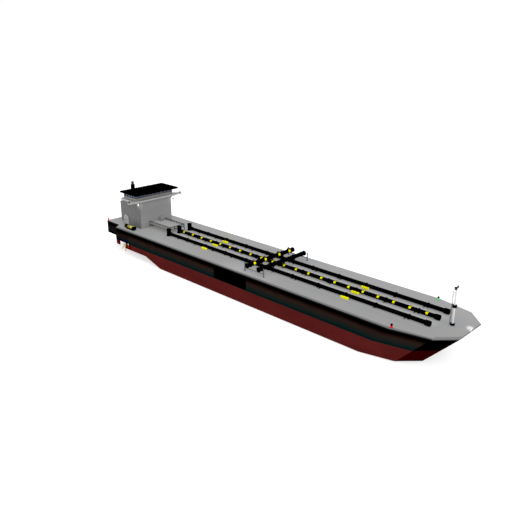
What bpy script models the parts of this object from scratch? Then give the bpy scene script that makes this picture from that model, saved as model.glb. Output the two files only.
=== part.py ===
"""An oil tanker, at one tenth of the size of a ship 185 m long.

Units are metres of the model. +X runs to the bow, +Y to port and +Z up. The origin is on the flat
keel, under the middle of the hull's length and beam.
"""
import math

import bmesh
import bpy
from mathutils import Matrix, Vector

# Hull
LENGTH = 18.494
HALF_BEAM = 1.603
DECK_Z = 1.251            # top of the deck above the keel
DECK_THICK = 0.055
PAINT_Z = 0.637           # where the black topsides meet the red bottom
STEM_RAKE = 1.201         # how much further forward the stem is at the deck than at the keel
BILGE_RADIUS = 0.07
BILGE_STEPS = 4
BOW_X = LENGTH / 2
STERN_X = -LENGTH / 2
BOTTOM_END_X = -6.89      # where the red body ends, in front of the propellers
RUN_START_X = -4.50       # where the flat keel starts to rise
RUN_END_X = -5.60
RUN_Z = 0.330             # height of the raised bottom
GAP = 0.0003              # between two pieces that touch

# Accommodation, with heights above the deck
HOUSE_AFT_X = -8.405
HOUSE_FORE_X = -6.768
HOUSE_HALF_WIDTH = 0.934
HOUSE_HEIGHT = 1.290
HOUSE_CORNER = 0.05
AFT_STEP = (0.21, 0.13)   # length and height of the cut under the house's aft wall
AFT_TOP_STEP = (0.20, 0.20)
DOOR_X = -7.94
DOOR_WIDTH = 0.38
DOOR_HEIGHT = 0.46
DOOR_SILL = 0.03
DOOR_THICK = 0.018
DOORWAY_INSET = 0.035     # how much the leaf overlaps the doorway all round
DOORWAY_DEPTH = 0.10
HINGE_RADIUS = 0.012
HINGE_HEIGHTS = (0.03, 0.25)          # the pin's ends above the sill
STRAP_LENGTH = 0.09
STRAP_WIDTH = 0.04
STRAP_HEIGHTS = (0.06, 0.20)          # undersides of the hinge straps above the sill

BRIDGE_DECK_X = (-7.87, -6.69)
BRIDGE_DECK_HALF_WIDTH = 1.20
BRIDGE_DECK_HEIGHT = (HOUSE_HEIGHT + GAP, 1.375)
WING_X = (-6.85, -6.67)
WING_ROOT_AFT_X = -7.05    # the wings' aft edge where they leave the bridge deck
WING_HALF_SPAN = 1.52
WING_HEIGHT = (1.315, 1.370)

WHEELHOUSE_X = (-7.79, -6.86)
WHEELHOUSE_HALF_WIDTH = 1.08
WHEELHOUSE_HEIGHT = (BRIDGE_DECK_HEIGHT[1] + GAP, 1.645)
WALL_THICK = 0.03
WINDOW_HEIGHT = (1.480, 1.605)
WINDOWS_ACROSS = 9
WINDOWS_ALONG = 4
MULLION = 0.045
GLASS_THICK = 0.008
GLASS_OVERLAP = 0.01       # how far the glass reaches past the windows
CUTTER_REACH = 0.1         # how far a cutter reaches past what it cuts
ROOF_X = (-7.89, -6.565)
ROOF_HALF_WIDTH = 1.235
ROOF_HEIGHT = (WHEELHOUSE_HEIGHT[1] + GAP, 1.725)
ROOF_BEVEL = 0.018

CASING_X = (-8.82, HOUSE_AFT_X - GAP)
CASING_HALF_WIDTH = 0.30
CASING_HEIGHT = 0.94
FUNNEL_X = -8.62
FUNNEL_RADIUS = 0.10
FUNNEL_SHOULDER = 1.715
FUNNEL_TOP = 1.865
FUNNEL_TOP_RADIUS = 0.068

# Platform in front of the house
PLATFORM_X = (HOUSE_FORE_X + GAP, -5.21)
PLATFORM_HALF_WIDTH = 0.44
PLATFORM_HEIGHT = 0.21
PLATFORM_THICK = 0.05
RAIL_HEIGHT = 0.09
RAIL_RADIUS = 0.010
PROP_RADIUS = 0.016       # of the posts along the platform's fore edge
RAIL_POSTS_ALONG = 9
RAIL_POSTS_ACROSS = 4
RAIL_INSET = (0.03, 0.02)  # from the house's front and from the slab's side edges
RAIL_OVERHANG = 0.015      # of the rails past the aftmost posts
LOCKER_X = (HOUSE_FORE_X + GAP, -6.60)
LOCKER_Y = (0.13, 0.39)
LOCKER_HEIGHT = 0.19
LOCKER_BEVEL = 0.008

# Cargo lines on deck
LINE_SPACING = 0.61
LINE_HEIGHT = 0.10
LINE_RADIUS = 0.075
LINE_AFT_X = -5.02
LINE_FORE_X = 8.09
RISER_RADIUS = 0.10
RISER_TOP = 0.32
RISER_BRANCH = 0.14        # from the riser's axis to the joint with the line
END_FLANGE_RADIUS = 0.097
END_FLANGE_LENGTH = 0.17
SADDLES = 11
SADDLE_INSET = (0.70, 0.80)  # of the first and the last saddle from the line's ends
SADDLE_SIZE = (0.03, 0.07)
LINE_VALVES = 21
LINE_VALVE_X = (-4.61, 7.73)
LINE_VALVE_SIZE = (0.055, 0.09)
LINE_VALVE_HEIGHT = (0.10, 0.19)
STRIPPING_VALVE_X = (-2.40, 4.99)
STRIPPING_VALVE_OFFSET = 0.13
STRIPPING_VALVE_SIZE = (0.31, 0.07, 0.08)
STRIPPING_VALVE_BEVEL = 0.012

# Cargo manifold across the deck
MANIFOLD_X = {"aft": 0.80, "fore": 1.415}
MANIFOLD_HEIGHT = 0.265
MANIFOLD_RADIUS = 0.085
MANIFOLD_HALF_SPAN = 1.34
MANIFOLD_FLANGE = (0.105, 0.04)      # radius and length
MANIFOLD_LEGS_Y = (-0.50, 0.11, 0.72)
MANIFOLD_LEG_RADIUS = 0.03
MANIFOLD_VALVES_Y = (-0.97, -0.36, 0.44, 1.05)
MANIFOLD_VALVE_SIZE = (0.11, 0.10)
MANIFOLD_VALVE_TOP = 0.37
STAND_X = (0.60, 1.61)
STAND_Y = {"starboard": -1.25, "port": 1.30}
STAND_HEIGHT = 0.33
STAND_RAIL_HEIGHT = 0.115
STAND_POST_RADIUS = 0.022

# Mooring winch on the starboard side of the house
WINCH_X = -7.08
WINCH_Y = -1.31
WINCH_SHAFT_HEIGHT = 0.12
WINCH_HALF_LENGTH = 0.36
WINCH_HEAD = (0.095, 0.055)           # radius and length of the warping heads
WINCH_SHAFT_RADIUS = 0.022
WINCH_BORE_RADIUS = 0.0226
WINCH_BARREL_RADIUS = 0.045
WINCH_CHEEK_RADIUS = 0.062
WINCH_CHEEK = 0.02
WINCH_PLAY = 0.015                   # between the barrel's cheeks and the pedestals
PEDESTAL_X = 0.25                    # from the middle of the winch
PEDESTAL_SIZE = (0.04, 0.09, 0.155)
WINCH_BED = (0.28, 0.055, 0.02)       # half length, half width and thickness
GEARBOX = (0.06, 0.24, 0.10)         # half length, reach inboard and height

# Foremast and lamps
MAST_X = 8.60
MAST_HEIGHT = 1.21
MAST_RADIUS = 0.03
MAST_RINGS = ((0.0, 0.06), (0.61, 0.69))
MAST_RING_RADIUS = 0.075
MAST_ARM_SPREAD = 0.09
MAST_ARM_RADIUS = 0.014
MAST_ARM_RISE = (0.02, 0.055)        # the middle and the tips above the mast
MAST_ARM_CROOK = 0.02                # half length of the arm's level middle
MAST_CAP_RADIUS = 0.022
MAST_HEADS = ((-0.054, 0.01, 0.085, 0.045), (0.09, 0.03, 0.095, 0.032))  # y, low, high, radius
LADDER_X = MAST_X - 0.09
LADDER_HALF_WIDTH = 0.03
LADDER_HEIGHT = 1.13
LADDER_RUNGS = 15
LADDER_RUNG_HEIGHTS = (0.08, 1.10)
STILE_RADIUS = 0.006
RUNG_RADIUS = 0.004
TIE_HALF_SIZE = (0.005, 0.006)       # across and up
STEM_LAMP_X = 9.18
BOW_LAMP = (7.33, 1.47)
STERN_LAMP = (-9.20, 1.17)
WING_LAMP_Y = 1.48
GLOBE_LAMP = (-6.73, 1.02, 1.16)
GLOBE_RADIUS = 0.05
GLOBE_STEM_RADIUS = 0.015
# Lamps turned about an upright axis, down their outer side: radius and height
HOODED_LAMP = ((0.0, 0.115), (0.034, 0.115), (0.042, 0.085), (0.033, 0.080), (0.033, 0.030),
               (0.040, 0.025), (0.040, 0.0), (0.0, 0.0))
STEM_LAMP = ((0.0, 0.085), (0.022, 0.080), (0.040, 0.062), (0.046, 0.040), (0.046, 0.018),
             (0.060, 0.016), (0.060, 0.0), (0.0, 0.0))
WING_LAMP = ((0.0, 0.09), (0.016, 0.09), (0.036, 0.0), (0.0, 0.0))

# Propellers, shafts and rudders
SCREW_Y = 1.28
SHAFT_Z = 0.215
SHAFT_RADIUS = 0.05
SHAFT_AFT_X = -7.63
PROPELLER_RADIUS = 0.205
PROPELLER_BLADES = 4
HUB_LENGTH = 0.13
HUB_RADIUS = 0.045
BLADE_THICK = 0.010
BLADE_PITCH = 0.34
BLADE_WIDTHS = ((0.030, 48), (0.070, 62), (0.115, 66), (0.160, 56), (0.190, 38), (PROPELLER_RADIUS, 14))
STRUT_X = (-6.45, -7.55)
STRUT_SIZE = (0.12, 0.028)
RUDDER_X = -8.42
RUDDER_Y = 1.15
RUDDER_LEAD = 0.09                   # blade in front of the stock
RUDDER_CHORDS = (0.35, 0.30)         # at the top and the bottom
RUDDER_THICK = 0.06
RUDDER_BOTTOM_Z = 0.165
RUDDER_CLEARANCE = 0.012
RUDDER_STOCK_RADIUS = 0.028
RUDDER_STOCK_LENGTH = 0.05

# Finish of each kind of surface: colour, roughness, metallic
FINISHES = {
    "topside black": ((0.012, 0.010, 0.009), 0.55, 0.0),
    "bottom red": ((0.098, 0.012, 0.012), 0.60, 0.0),
    "deck grey": ((0.36, 0.36, 0.36), 0.70, 0.0),
    "house grey": ((0.19, 0.19, 0.19), 0.60, 0.0),
    "trim grey": ((0.42, 0.42, 0.42), 0.60, 0.0),
    "bridge beige": ((0.33, 0.32, 0.30), 0.60, 0.0),
    "window glass": ((0.010, 0.014, 0.060), 0.15, 0.0),
    "pipe black": ((0.006, 0.006, 0.006), 0.50, 0.0),
    "soot brown": ((0.030, 0.020, 0.018), 0.80, 0.0),
    "fitting yellow": ((0.78, 0.74, 0.02), 0.50, 0.0),
    "lamp white": ((0.85, 0.85, 0.85), 0.30, 0.0),
    "lamp red": ((0.70, 0.010, 0.010), 0.30, 0.0),
    "lamp green": ((0.08, 0.70, 0.16), 0.30, 0.0),
    "bronze": ((0.45, 0.32, 0.12), 0.35, 1.0),
}

# Deck outline: x at the deck, half breadth, share of the stem's rake
BOW_OUTLINE = (
    (5.90, HALF_BEAM, 0.0),
    (7.299, HALF_BEAM, 0.89),
    (8.607, 1.316, 1.0),
    (BOW_X, 0.667, 1.0),
)
STERN_OUTLINE = (
    (STERN_X, 1.22, 0.0),
    (-8.12, 1.24, 0.0),
    (-7.885, HALF_BEAM, 0.0),
)
# Bottom outline forward to the bow outline: x, half breadth, height of the keel
RUN_OUTLINE = (
    (BOTTOM_END_X, HALF_BEAM, RUN_Z),
    (RUN_END_X, HALF_BEAM, RUN_Z),
    (RUN_START_X, HALF_BEAM, 0.0),
)
SIDES = {"starboard": -1, "port": 1}
UPRIGHT = (math.pi / 2, 0.0, 0.0)     # stands an outline up along the ship's length


def above_deck(height):
    """World height of a point this far above the deck."""
    return DECK_Z + height


def clear_scene():
    """Removes what the file opened with."""
    for old in list(bpy.data.objects):
        bpy.data.objects.remove(old, do_unlink=True)


def new_collection(name):
    """A collection in the scene."""
    group = bpy.data.collections.new(name)
    bpy.context.scene.collection.children.link(group)
    return group


def paint(part, finish):
    """Gives the part its own material from the table of finishes."""
    colour, roughness, metallic = FINISHES[finish]
    material = bpy.data.materials.new(part.name + " " + finish)
    material.use_nodes = True
    shader = material.node_tree.nodes["Principled BSDF"]
    shader.inputs["Base Color"].default_value = (*colour, 1.0)
    shader.inputs["Roughness"].default_value = roughness
    shader.inputs["Metallic"].default_value = metallic
    part.data.materials.clear()
    part.data.materials.append(material)


def move_to(part, group):
    """Puts an object in one collection only."""
    for old in list(part.users_collection):
        old.objects.unlink(part)
    group.objects.link(part)


def finished(part, name, finish, smooth=True):
    """Names a finished sub-part, paints it and puts it with the tanker's parts."""
    part.name = name
    part.data.name = name
    move_to(part, PARTS)
    paint(part, finish)
    if smooth:
        part.data.shade_smooth()
        part.data.set_sharp_from_angle(angle=math.radians(30))
    return part


def as_cutter(part, name):
    """Hides an object that only cuts others."""
    part.name = name
    part.hide_render = True
    part.display_type = "WIRE"
    move_to(part, CUTTERS)
    return part


def evaluated_mesh(part):
    """The mesh that the object's modifiers or curve make, welded, in the object's own space."""
    bpy.context.view_layer.update()
    shown = part.evaluated_get(bpy.context.evaluated_depsgraph_get())
    mesh = bpy.data.meshes.new_from_object(shown)
    work = bmesh.new()
    work.from_mesh(mesh)
    bmesh.ops.remove_doubles(work, verts=work.verts, dist=1e-5)
    bmesh.ops.recalc_face_normals(work, faces=work.faces)
    work.to_mesh(mesh)
    work.free()
    return mesh


def as_mesh(part):
    """Replaces a curve object by a mesh object of the same shape and place."""
    mesh = evaluated_mesh(part)
    result = bpy.data.objects.new(part.name, mesh)
    bpy.context.scene.collection.objects.link(result)
    result.matrix_world = part.matrix_world.copy()
    bpy.data.objects.remove(part, do_unlink=True)
    return result


def block(low, high):
    """A box between two corners."""
    low = Vector(low)
    high = Vector(high)
    bpy.ops.mesh.primitive_cube_add(size=1, location=(low + high) / 2)
    part = bpy.context.object
    part.data.transform(Matrix.Diagonal((*(high - low), 1)))
    return part


def deck_block(x_range, half_width, heights):
    """A box across the centreline, with its heights given above the deck."""
    return block((x_range[0], -half_width, above_deck(heights[0])),
                 (x_range[1], half_width, above_deck(heights[1])))


def soften(part, width, segments=1):
    """Rounds the part's edges."""
    bevel = part.modifiers.new("Bevel", "BEVEL")
    bevel.width = width
    bevel.segments = segments
    bevel.limit_method = "ANGLE"
    return part


def round_upright_edges(part, radius, segments=3):
    """Rounds only the upright edges of a box."""
    work = bmesh.new()
    work.from_mesh(part.data)
    upright = [e for e in work.edges if abs((e.verts[0].co - e.verts[1].co).normalized().z) > 0.99]
    bmesh.ops.bevel(work, geom=upright, offset=radius, segments=segments, affect="EDGES", profile=0.5)
    work.to_mesh(part.data)
    work.free()
    return part


def rod(start, end, radius, sides=12):
    """A round bar between two points."""
    start = Vector(start)
    end = Vector(end)
    along = end - start
    bpy.ops.mesh.primitive_cylinder_add(vertices=sides, radius=radius, depth=along.length,
                                        location=(start + end) / 2)
    part = bpy.context.object
    part.rotation_euler = along.to_track_quat("Z", "Y").to_euler()
    return part


def turned(profile, location, sides=24, along_x=False):
    """A turned piece; the profile runs down its outer side as (radius, height) pairs."""
    mesh = bpy.data.meshes.new("profile")
    points = [(radius, 0.0, height) for radius, height in profile]
    mesh.from_pydata(points, [(i, i + 1) for i in range(len(points) - 1)], [])
    part = bpy.data.objects.new("turned", mesh)
    bpy.context.scene.collection.objects.link(part)
    part.location = location
    if along_x:
        part.rotation_euler = (0.0, math.pi / 2, 0.0)
    screw = part.modifiers.new("Screw", "SCREW")
    screw.steps = sides
    screw.render_steps = sides
    screw.use_merge_vertices = True
    screw.merge_threshold = 0.0001
    return part


def plate(outline, thickness, location, rotation):
    """A flat plate from an outline in its own X and Y."""
    curve = bpy.data.curves.new("outline", "CURVE")
    curve.dimensions = "2D"
    curve.fill_mode = "BOTH"
    curve.extrude = thickness / 2
    spline = curve.splines.new("POLY")
    spline.points.add(len(outline) - 1)
    for point, (x, y) in zip(spline.points, outline):
        point.co = (x, y, 0.0, 1.0)
    spline.use_cyclic_u = True
    part = bpy.data.objects.new("plate", curve)
    bpy.context.scene.collection.objects.link(part)
    part.location = location
    part.rotation_euler = rotation
    bpy.context.view_layer.update()
    return as_mesh(part)


def tube(points, radius, resolution=1):
    """A bent tube through the points."""
    curve = bpy.data.curves.new("route", "CURVE")
    curve.dimensions = "3D"
    curve.bevel_depth = radius
    curve.bevel_resolution = resolution
    curve.use_fill_caps = True
    spline = curve.splines.new("POLY")
    spline.points.add(len(points) - 1)
    for point, place in zip(spline.points, points):
        point.co = (*place, 1.0)
    part = bpy.data.objects.new("tube", curve)
    bpy.context.scene.collection.objects.link(part)
    return as_mesh(part)


def gathered(pieces):
    """Joins pieces that don't touch each other into one mesh object."""
    work = bmesh.new()
    for piece in pieces:
        mesh = evaluated_mesh(piece)
        mesh.transform(piece.matrix_world)
        work.from_mesh(mesh)
        bpy.data.objects.remove(piece, do_unlink=True)
    mesh = bpy.data.meshes.new("gathered")
    work.to_mesh(mesh)
    work.free()
    result = bpy.data.objects.new("gathered", mesh)
    bpy.context.scene.collection.objects.link(result)
    return result


def fused(base, *additions):
    """Unites the additions with the base into one closed body, which keeps the base's origin."""
    for addition in additions:
        union = base.modifiers.new("Union", "BOOLEAN")
        union.operation = "UNION"
        union.object = addition
    mesh = evaluated_mesh(base)
    base.modifiers.clear()
    base.data = mesh
    for addition in additions:
        bpy.data.objects.remove(addition, do_unlink=True)
    return base


def cut(part, cutter):
    """Cuts the part by a hidden cutter."""
    difference = part.modifiers.new("Cut", "BOOLEAN")
    difference.operation = "DIFFERENCE"
    difference.object = cutter


def spread(first, last, count):
    """Evenly spaced values from first to last."""
    return [first + (last - first) * i / (count - 1) for i in range(count)]


def raked(x, share, z):
    """x of a hull point at height z, from its x at the deck and its share of the stem's rake."""
    return x - STEM_RAKE * share * (1 - z / DECK_Z)


def loft(rings):
    """A closed hull body from rings with the same number of points, from aft to forward."""
    count = len(rings[0])
    work = bmesh.new()
    rows = [[work.verts.new(point) for point in ring] for ring in rings]
    for row, following in zip(rows, rows[1:]):
        for i in range(count):
            j = (i + 1) % count
            work.faces.new((row[i], row[j], following[j], following[i]))
    work.faces.new(rows[0])
    work.faces.new(rows[-1])
    bmesh.ops.recalc_face_normals(work, faces=work.faces)
    mesh = bpy.data.meshes.new("loft")
    work.to_mesh(mesh)
    work.free()
    part = bpy.data.objects.new("loft", mesh)
    bpy.context.scene.collection.objects.link(part)
    return part


def hull_layer(low, high):
    """The stretch of the hull between two heights, above the run of the bottom."""
    rings = []
    for x, half_breadth, share in STERN_OUTLINE + BOW_OUTLINE:
        rings.append([(raked(x, share, z), side * half_breadth, z)
                      for z, side in ((low, -1), (low, 1), (high, 1), (high, -1))])
    return loft(rings)


def bottom_ring(x, half_breadth, share, keel):
    """One cross-section of the red bottom, with rounded bilges."""
    half = [(half_breadth, PAINT_Z - GAP)]
    for step in range(BILGE_STEPS + 1):
        turn = math.pi / 2 * step / BILGE_STEPS
        half.append((half_breadth - BILGE_RADIUS * (1 - math.cos(turn)),
                     keel + BILGE_RADIUS * (1 - math.sin(turn))))
    ring = [(-y, z) for y, z in half] + list(reversed(half))
    return [(raked(x, share, z), y, z) for y, z in ring]


def build_hull():
    """Red bottom, black topsides and grey deck."""
    rings = [bottom_ring(x, breadth, 0.0, keel) for x, breadth, keel in RUN_OUTLINE]
    rings += [bottom_ring(x, breadth, share, 0.0) for x, breadth, share in BOW_OUTLINE]
    finished(loft(rings), "hull_bottom", "bottom red")
    deck_underside = DECK_Z - DECK_THICK
    finished(hull_layer(PAINT_Z, deck_underside - GAP), "hull_topsides", "topside black", smooth=False)
    finished(hull_layer(deck_underside, DECK_Z), "main_deck", "deck grey", smooth=False)


def arch(width, height, steps=8):
    """Outline of a door with a round head; its sill is centred on the origin."""
    radius = width / 2
    outline = [(-radius, 0.0), (radius, 0.0)]
    for step in range(steps + 1):
        turn = math.pi * step / steps
        outline.append((radius * math.cos(turn), height - radius + radius * math.sin(turn)))
    return outline


def build_house():
    """The accommodation block, with a doorway in each side, and its two doors."""
    house = deck_block((HOUSE_AFT_X, HOUSE_FORE_X), HOUSE_HALF_WIDTH, (GAP, HOUSE_HEIGHT))
    round_upright_edges(house, HOUSE_CORNER)
    finished(house, "deckhouse", "house grey")
    for name, level, (length, height) in (("foot", 0.0, AFT_STEP), ("top", HOUSE_HEIGHT, AFT_TOP_STEP)):
        step = deck_block((HOUSE_AFT_X - length, HOUSE_AFT_X + length), HOUSE_HALF_WIDTH * 1.1,
                          (level - height, level + height))
        cut(house, as_cutter(step, "aft_" + name + "_cutter"))
    for side_name, side in SIDES.items():
        doorway = plate(arch(DOOR_WIDTH - 2 * DOORWAY_INSET, DOOR_HEIGHT - 2 * DOORWAY_INSET),
                        2 * DOORWAY_DEPTH,
                        (DOOR_X, side * HOUSE_HALF_WIDTH, above_deck(DOOR_SILL + DOORWAY_INSET)),
                        UPRIGHT)
        cut(house, as_cutter(doorway, "doorway_cutter_" + side_name))
        build_door(side_name, side)


def build_door(side_name, side):
    """One arched door, hung on a pin at its forward edge."""
    pin_x = DOOR_X + DOOR_WIDTH / 2 + HINGE_RADIUS
    pin_y = side * (HOUSE_HALF_WIDTH + GAP + HINGE_RADIUS)
    leaf_y = side * (HOUSE_HALF_WIDTH + GAP + DOOR_THICK / 2)
    low = above_deck(DOOR_SILL)
    barrel = rod((pin_x, pin_y, low + HINGE_HEIGHTS[0]), (pin_x, pin_y, low + HINGE_HEIGHTS[1]), HINGE_RADIUS)
    leaf = plate(arch(DOOR_WIDTH, DOOR_HEIGHT), DOOR_THICK, (DOOR_X, leaf_y, low), UPRIGHT)
    half_thick = DOOR_THICK * 0.3
    straps = [block((pin_x - STRAP_LENGTH, leaf_y - half_thick, low + z),
                    (pin_x, leaf_y + half_thick, low + z + STRAP_WIDTH)) for z in STRAP_HEIGHTS]
    door = fused(barrel, leaf, gathered(straps))
    finished(door, "side_door_" + side_name, "trim grey")


def build_bridge():
    """Bridge deck with its wings, wheelhouse walls, glass and roof."""
    deck = deck_block(BRIDGE_DECK_X, BRIDGE_DECK_HALF_WIDTH, BRIDGE_DECK_HEIGHT)
    tip_aft_x, fore_x = WING_X
    root = BRIDGE_DECK_HALF_WIDTH
    wings = plate([(fore_x, -WING_HALF_SPAN), (fore_x, WING_HALF_SPAN), (tip_aft_x, WING_HALF_SPAN),
                   (WING_ROOT_AFT_X, root), (WING_ROOT_AFT_X, -root), (tip_aft_x, -WING_HALF_SPAN)],
                  WING_HEIGHT[1] - WING_HEIGHT[0], (0.0, 0.0, above_deck(sum(WING_HEIGHT) / 2)),
                  (0.0, 0.0, 0.0))
    finished(fused(deck, wings), "bridge_deck", "trim grey", smooth=False)

    walls = deck_block(WHEELHOUSE_X, WHEELHOUSE_HALF_WIDTH, WHEELHOUSE_HEIGHT)
    finished(walls, "wheelhouse_walls", "bridge beige", smooth=False)
    inside_x = (WHEELHOUSE_X[0] + WALL_THICK, WHEELHOUSE_X[1] - WALL_THICK)
    inside_half_width = WHEELHOUSE_HALF_WIDTH - WALL_THICK
    room = deck_block(inside_x, inside_half_width, reaching(WHEELHOUSE_HEIGHT))
    cut(walls, as_cutter(room, "wheelhouse_room_cutter"))
    cut(walls, as_cutter(window_bars(WINDOWS_ACROSS, across=True), "front_window_cutter"))
    cut(walls, as_cutter(window_bars(WINDOWS_ALONG, across=False), "side_window_cutter"))

    glass_x = (inside_x[0] + GAP, inside_x[1] - GAP)
    heights = (WINDOW_HEIGHT[0] - GLASS_OVERLAP, WINDOW_HEIGHT[1] + GLASS_OVERLAP)
    glass = deck_block(glass_x, inside_half_width - GAP, heights)
    finished(glass, "wheelhouse_glass", "window glass", smooth=False)
    hollow = deck_block((glass_x[0] + GLASS_THICK, glass_x[1] - GLASS_THICK),
                        inside_half_width - GAP - GLASS_THICK, reaching(heights))
    cut(glass, as_cutter(hollow, "glass_hollow_cutter"))

    roof = deck_block(ROOF_X, ROOF_HALF_WIDTH, ROOF_HEIGHT)
    finished(soften(roof, ROOF_BEVEL), "wheelhouse_roof", "pipe black", smooth=False)


def reaching(span):
    """A cutter's span, past both ends of what it cuts."""
    return (span[0] - CUTTER_REACH, span[1] + CUTTER_REACH)


def window_bars(count, across):
    """Bars that cut a row of windows through two facing walls."""
    low_x, high_x = WHEELHOUSE_X
    first, last = (-WHEELHOUSE_HALF_WIDTH, WHEELHOUSE_HALF_WIDTH) if across else (low_x, high_x)
    pitch = (last - first - 2 * WALL_THICK - MULLION) / count
    bars = []
    for i in range(count):
        start = first + WALL_THICK + MULLION + i * pitch
        end = start + pitch - MULLION
        if across:
            low = (low_x - CUTTER_REACH, start)
            high = (high_x + CUTTER_REACH, end)
        else:
            low = (start, -WHEELHOUSE_HALF_WIDTH - CUTTER_REACH)
            high = (end, WHEELHOUSE_HALF_WIDTH + CUTTER_REACH)
        bars.append(block((*low, above_deck(WINDOW_HEIGHT[0])), (*high, above_deck(WINDOW_HEIGHT[1]))))
    return gathered(bars)


def build_funnel():
    """Engine casing behind the house, with the funnel on it and its narrow sooty top."""
    casing = deck_block(CASING_X, CASING_HALF_WIDTH, (GAP, CASING_HEIGHT))
    finished(casing, "engine_casing", "house grey", smooth=False)
    base = CASING_HEIGHT + GAP
    height = FUNNEL_SHOULDER - base
    trunk = turned(((0.0, height), (FUNNEL_RADIUS, height), (FUNNEL_RADIUS, 0.0), (0.0, 0.0)),
                   (FUNNEL_X, 0.0, above_deck(base)))
    finished(trunk, "funnel", "pipe black")
    height = FUNNEL_TOP - FUNNEL_SHOULDER - GAP
    top = turned(((0.0, height), (FUNNEL_TOP_RADIUS * 0.8, height), (FUNNEL_TOP_RADIUS, height * 0.8),
                  (FUNNEL_TOP_RADIUS, 0.0), (0.0, 0.0)),
                 (FUNNEL_X, 0.0, above_deck(FUNNEL_SHOULDER + GAP)))
    finished(top, "funnel_top", "soot brown")


def build_platform():
    """Thin raised platform in front of the house, its railing, which also props it, and a locker."""
    slab = deck_block(PLATFORM_X, PLATFORM_HALF_WIDTH, (PLATFORM_HEIGHT - PLATFORM_THICK, PLATFORM_HEIGHT))
    finished(slab, "platform", "deck grey", smooth=False)
    foot = above_deck(PLATFORM_HEIGHT + GAP)
    locker = block((LOCKER_X[0], LOCKER_Y[0], foot), (LOCKER_X[1], LOCKER_Y[1], foot + LOCKER_HEIGHT))
    finished(soften(locker, LOCKER_BEVEL), "platform_locker", "house grey", smooth=False)

    edge_y = PLATFORM_HALF_WIDTH - RAIL_INSET[1]
    aft_x = PLATFORM_X[0] + RAIL_INSET[0]
    rail_end_x = aft_x - RAIL_OVERHANG
    fore_x = PLATFORM_X[1] + GAP + PROP_RADIUS
    top = above_deck(PLATFORM_HEIGHT + RAIL_HEIGHT)
    middle = above_deck(PLATFORM_HEIGHT + RAIL_HEIGHT / 2)
    places = [(x, side * edge_y, foot, RAIL_RADIUS)
              for x in spread(aft_x, fore_x, RAIL_POSTS_ALONG)[:-1] for side in (-1, 1)]
    underside = above_deck(PLATFORM_HEIGHT - PLATFORM_THICK)
    for y in spread(-edge_y, edge_y, RAIL_POSTS_ACROSS):
        corner = abs(y) == edge_y
        places.append((fore_x, y, above_deck(GAP) if corner else underside, PROP_RADIUS))
    posts = [rod((x, y, low), (x, y, top + RAIL_RADIUS / 2), radius, sides=6) for x, y, low, radius in places]
    rails = [tube([(rail_end_x, -edge_y, z), (fore_x, -edge_y, z), (fore_x, edge_y, z),
                   (rail_end_x, edge_y, z)], RAIL_RADIUS * 0.8, resolution=0)
             for z in (middle, top)]
    finished(fused(gathered(posts), gathered(rails)), "platform_railing", "pipe black")


def build_cargo_lines():
    """Three pipes along the deck on saddles, each with a riser aft and a flanged end."""
    z = above_deck(LINE_HEIGHT)
    foot = above_deck(GAP)
    for name, y in (("starboard", -LINE_SPACING), ("centre", 0.0), ("port", LINE_SPACING)):
        joint_x = LINE_AFT_X + RISER_BRANCH
        riser = rod((LINE_AFT_X, y, foot), (LINE_AFT_X, y, above_deck(RISER_TOP)), RISER_RADIUS)
        branch = rod((LINE_AFT_X, y, z), (joint_x, y, z), LINE_RADIUS)
        finished(fused(riser, branch), "cargo_riser_" + name, "pipe black")

        pipe = rod((joint_x + GAP, y, z), (LINE_FORE_X, y, z), LINE_RADIUS)
        fittings = [rod((LINE_FORE_X - END_FLANGE_LENGTH / 2, y, z),
                        (LINE_FORE_X + END_FLANGE_LENGTH / 2, y, z), END_FLANGE_RADIUS)]
        length, width = SADDLE_SIZE
        first, last = LINE_AFT_X + SADDLE_INSET[0], LINE_FORE_X - SADDLE_INSET[1]
        fittings += [block((x - length / 2, y - width / 2, foot), (x + length / 2, y + width / 2, z))
                     for x in spread(first, last, SADDLES)]
        line = fused(pipe, gathered(fittings))
        if name == "centre":
            line = fused(line, gathered(line_valves(y)))
        finished(line, "cargo_line_" + name, "pipe black")


def line_valves(y):
    """The small valve boxes that sit astride the centre line."""
    length, width = LINE_VALVE_SIZE
    low, high = LINE_VALVE_HEIGHT
    return [block((x - length / 2, y - width / 2, above_deck(low)),
                  (x + length / 2, y + width / 2, above_deck(high)))
            for x in spread(*LINE_VALVE_X, LINE_VALVES)]


def build_stripping_valves():
    """Long valve boxes on the deck, on the starboard side of each cargo line."""
    length, width, height = STRIPPING_VALVE_SIZE
    for place, x in zip(("aft", "fore"), STRIPPING_VALVE_X):
        for name, line_y in (("starboard", -LINE_SPACING), ("centre", 0.0), ("port", LINE_SPACING)):
            y = line_y - STRIPPING_VALVE_OFFSET
            box = block((x - length / 2, y - width / 2, above_deck(GAP)),
                        (x + length / 2, y + width / 2, above_deck(height)))
            finished(soften(box, STRIPPING_VALVE_BEVEL), "valve_box_" + place + "_" + name,
                     "fitting yellow", smooth=False)


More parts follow.
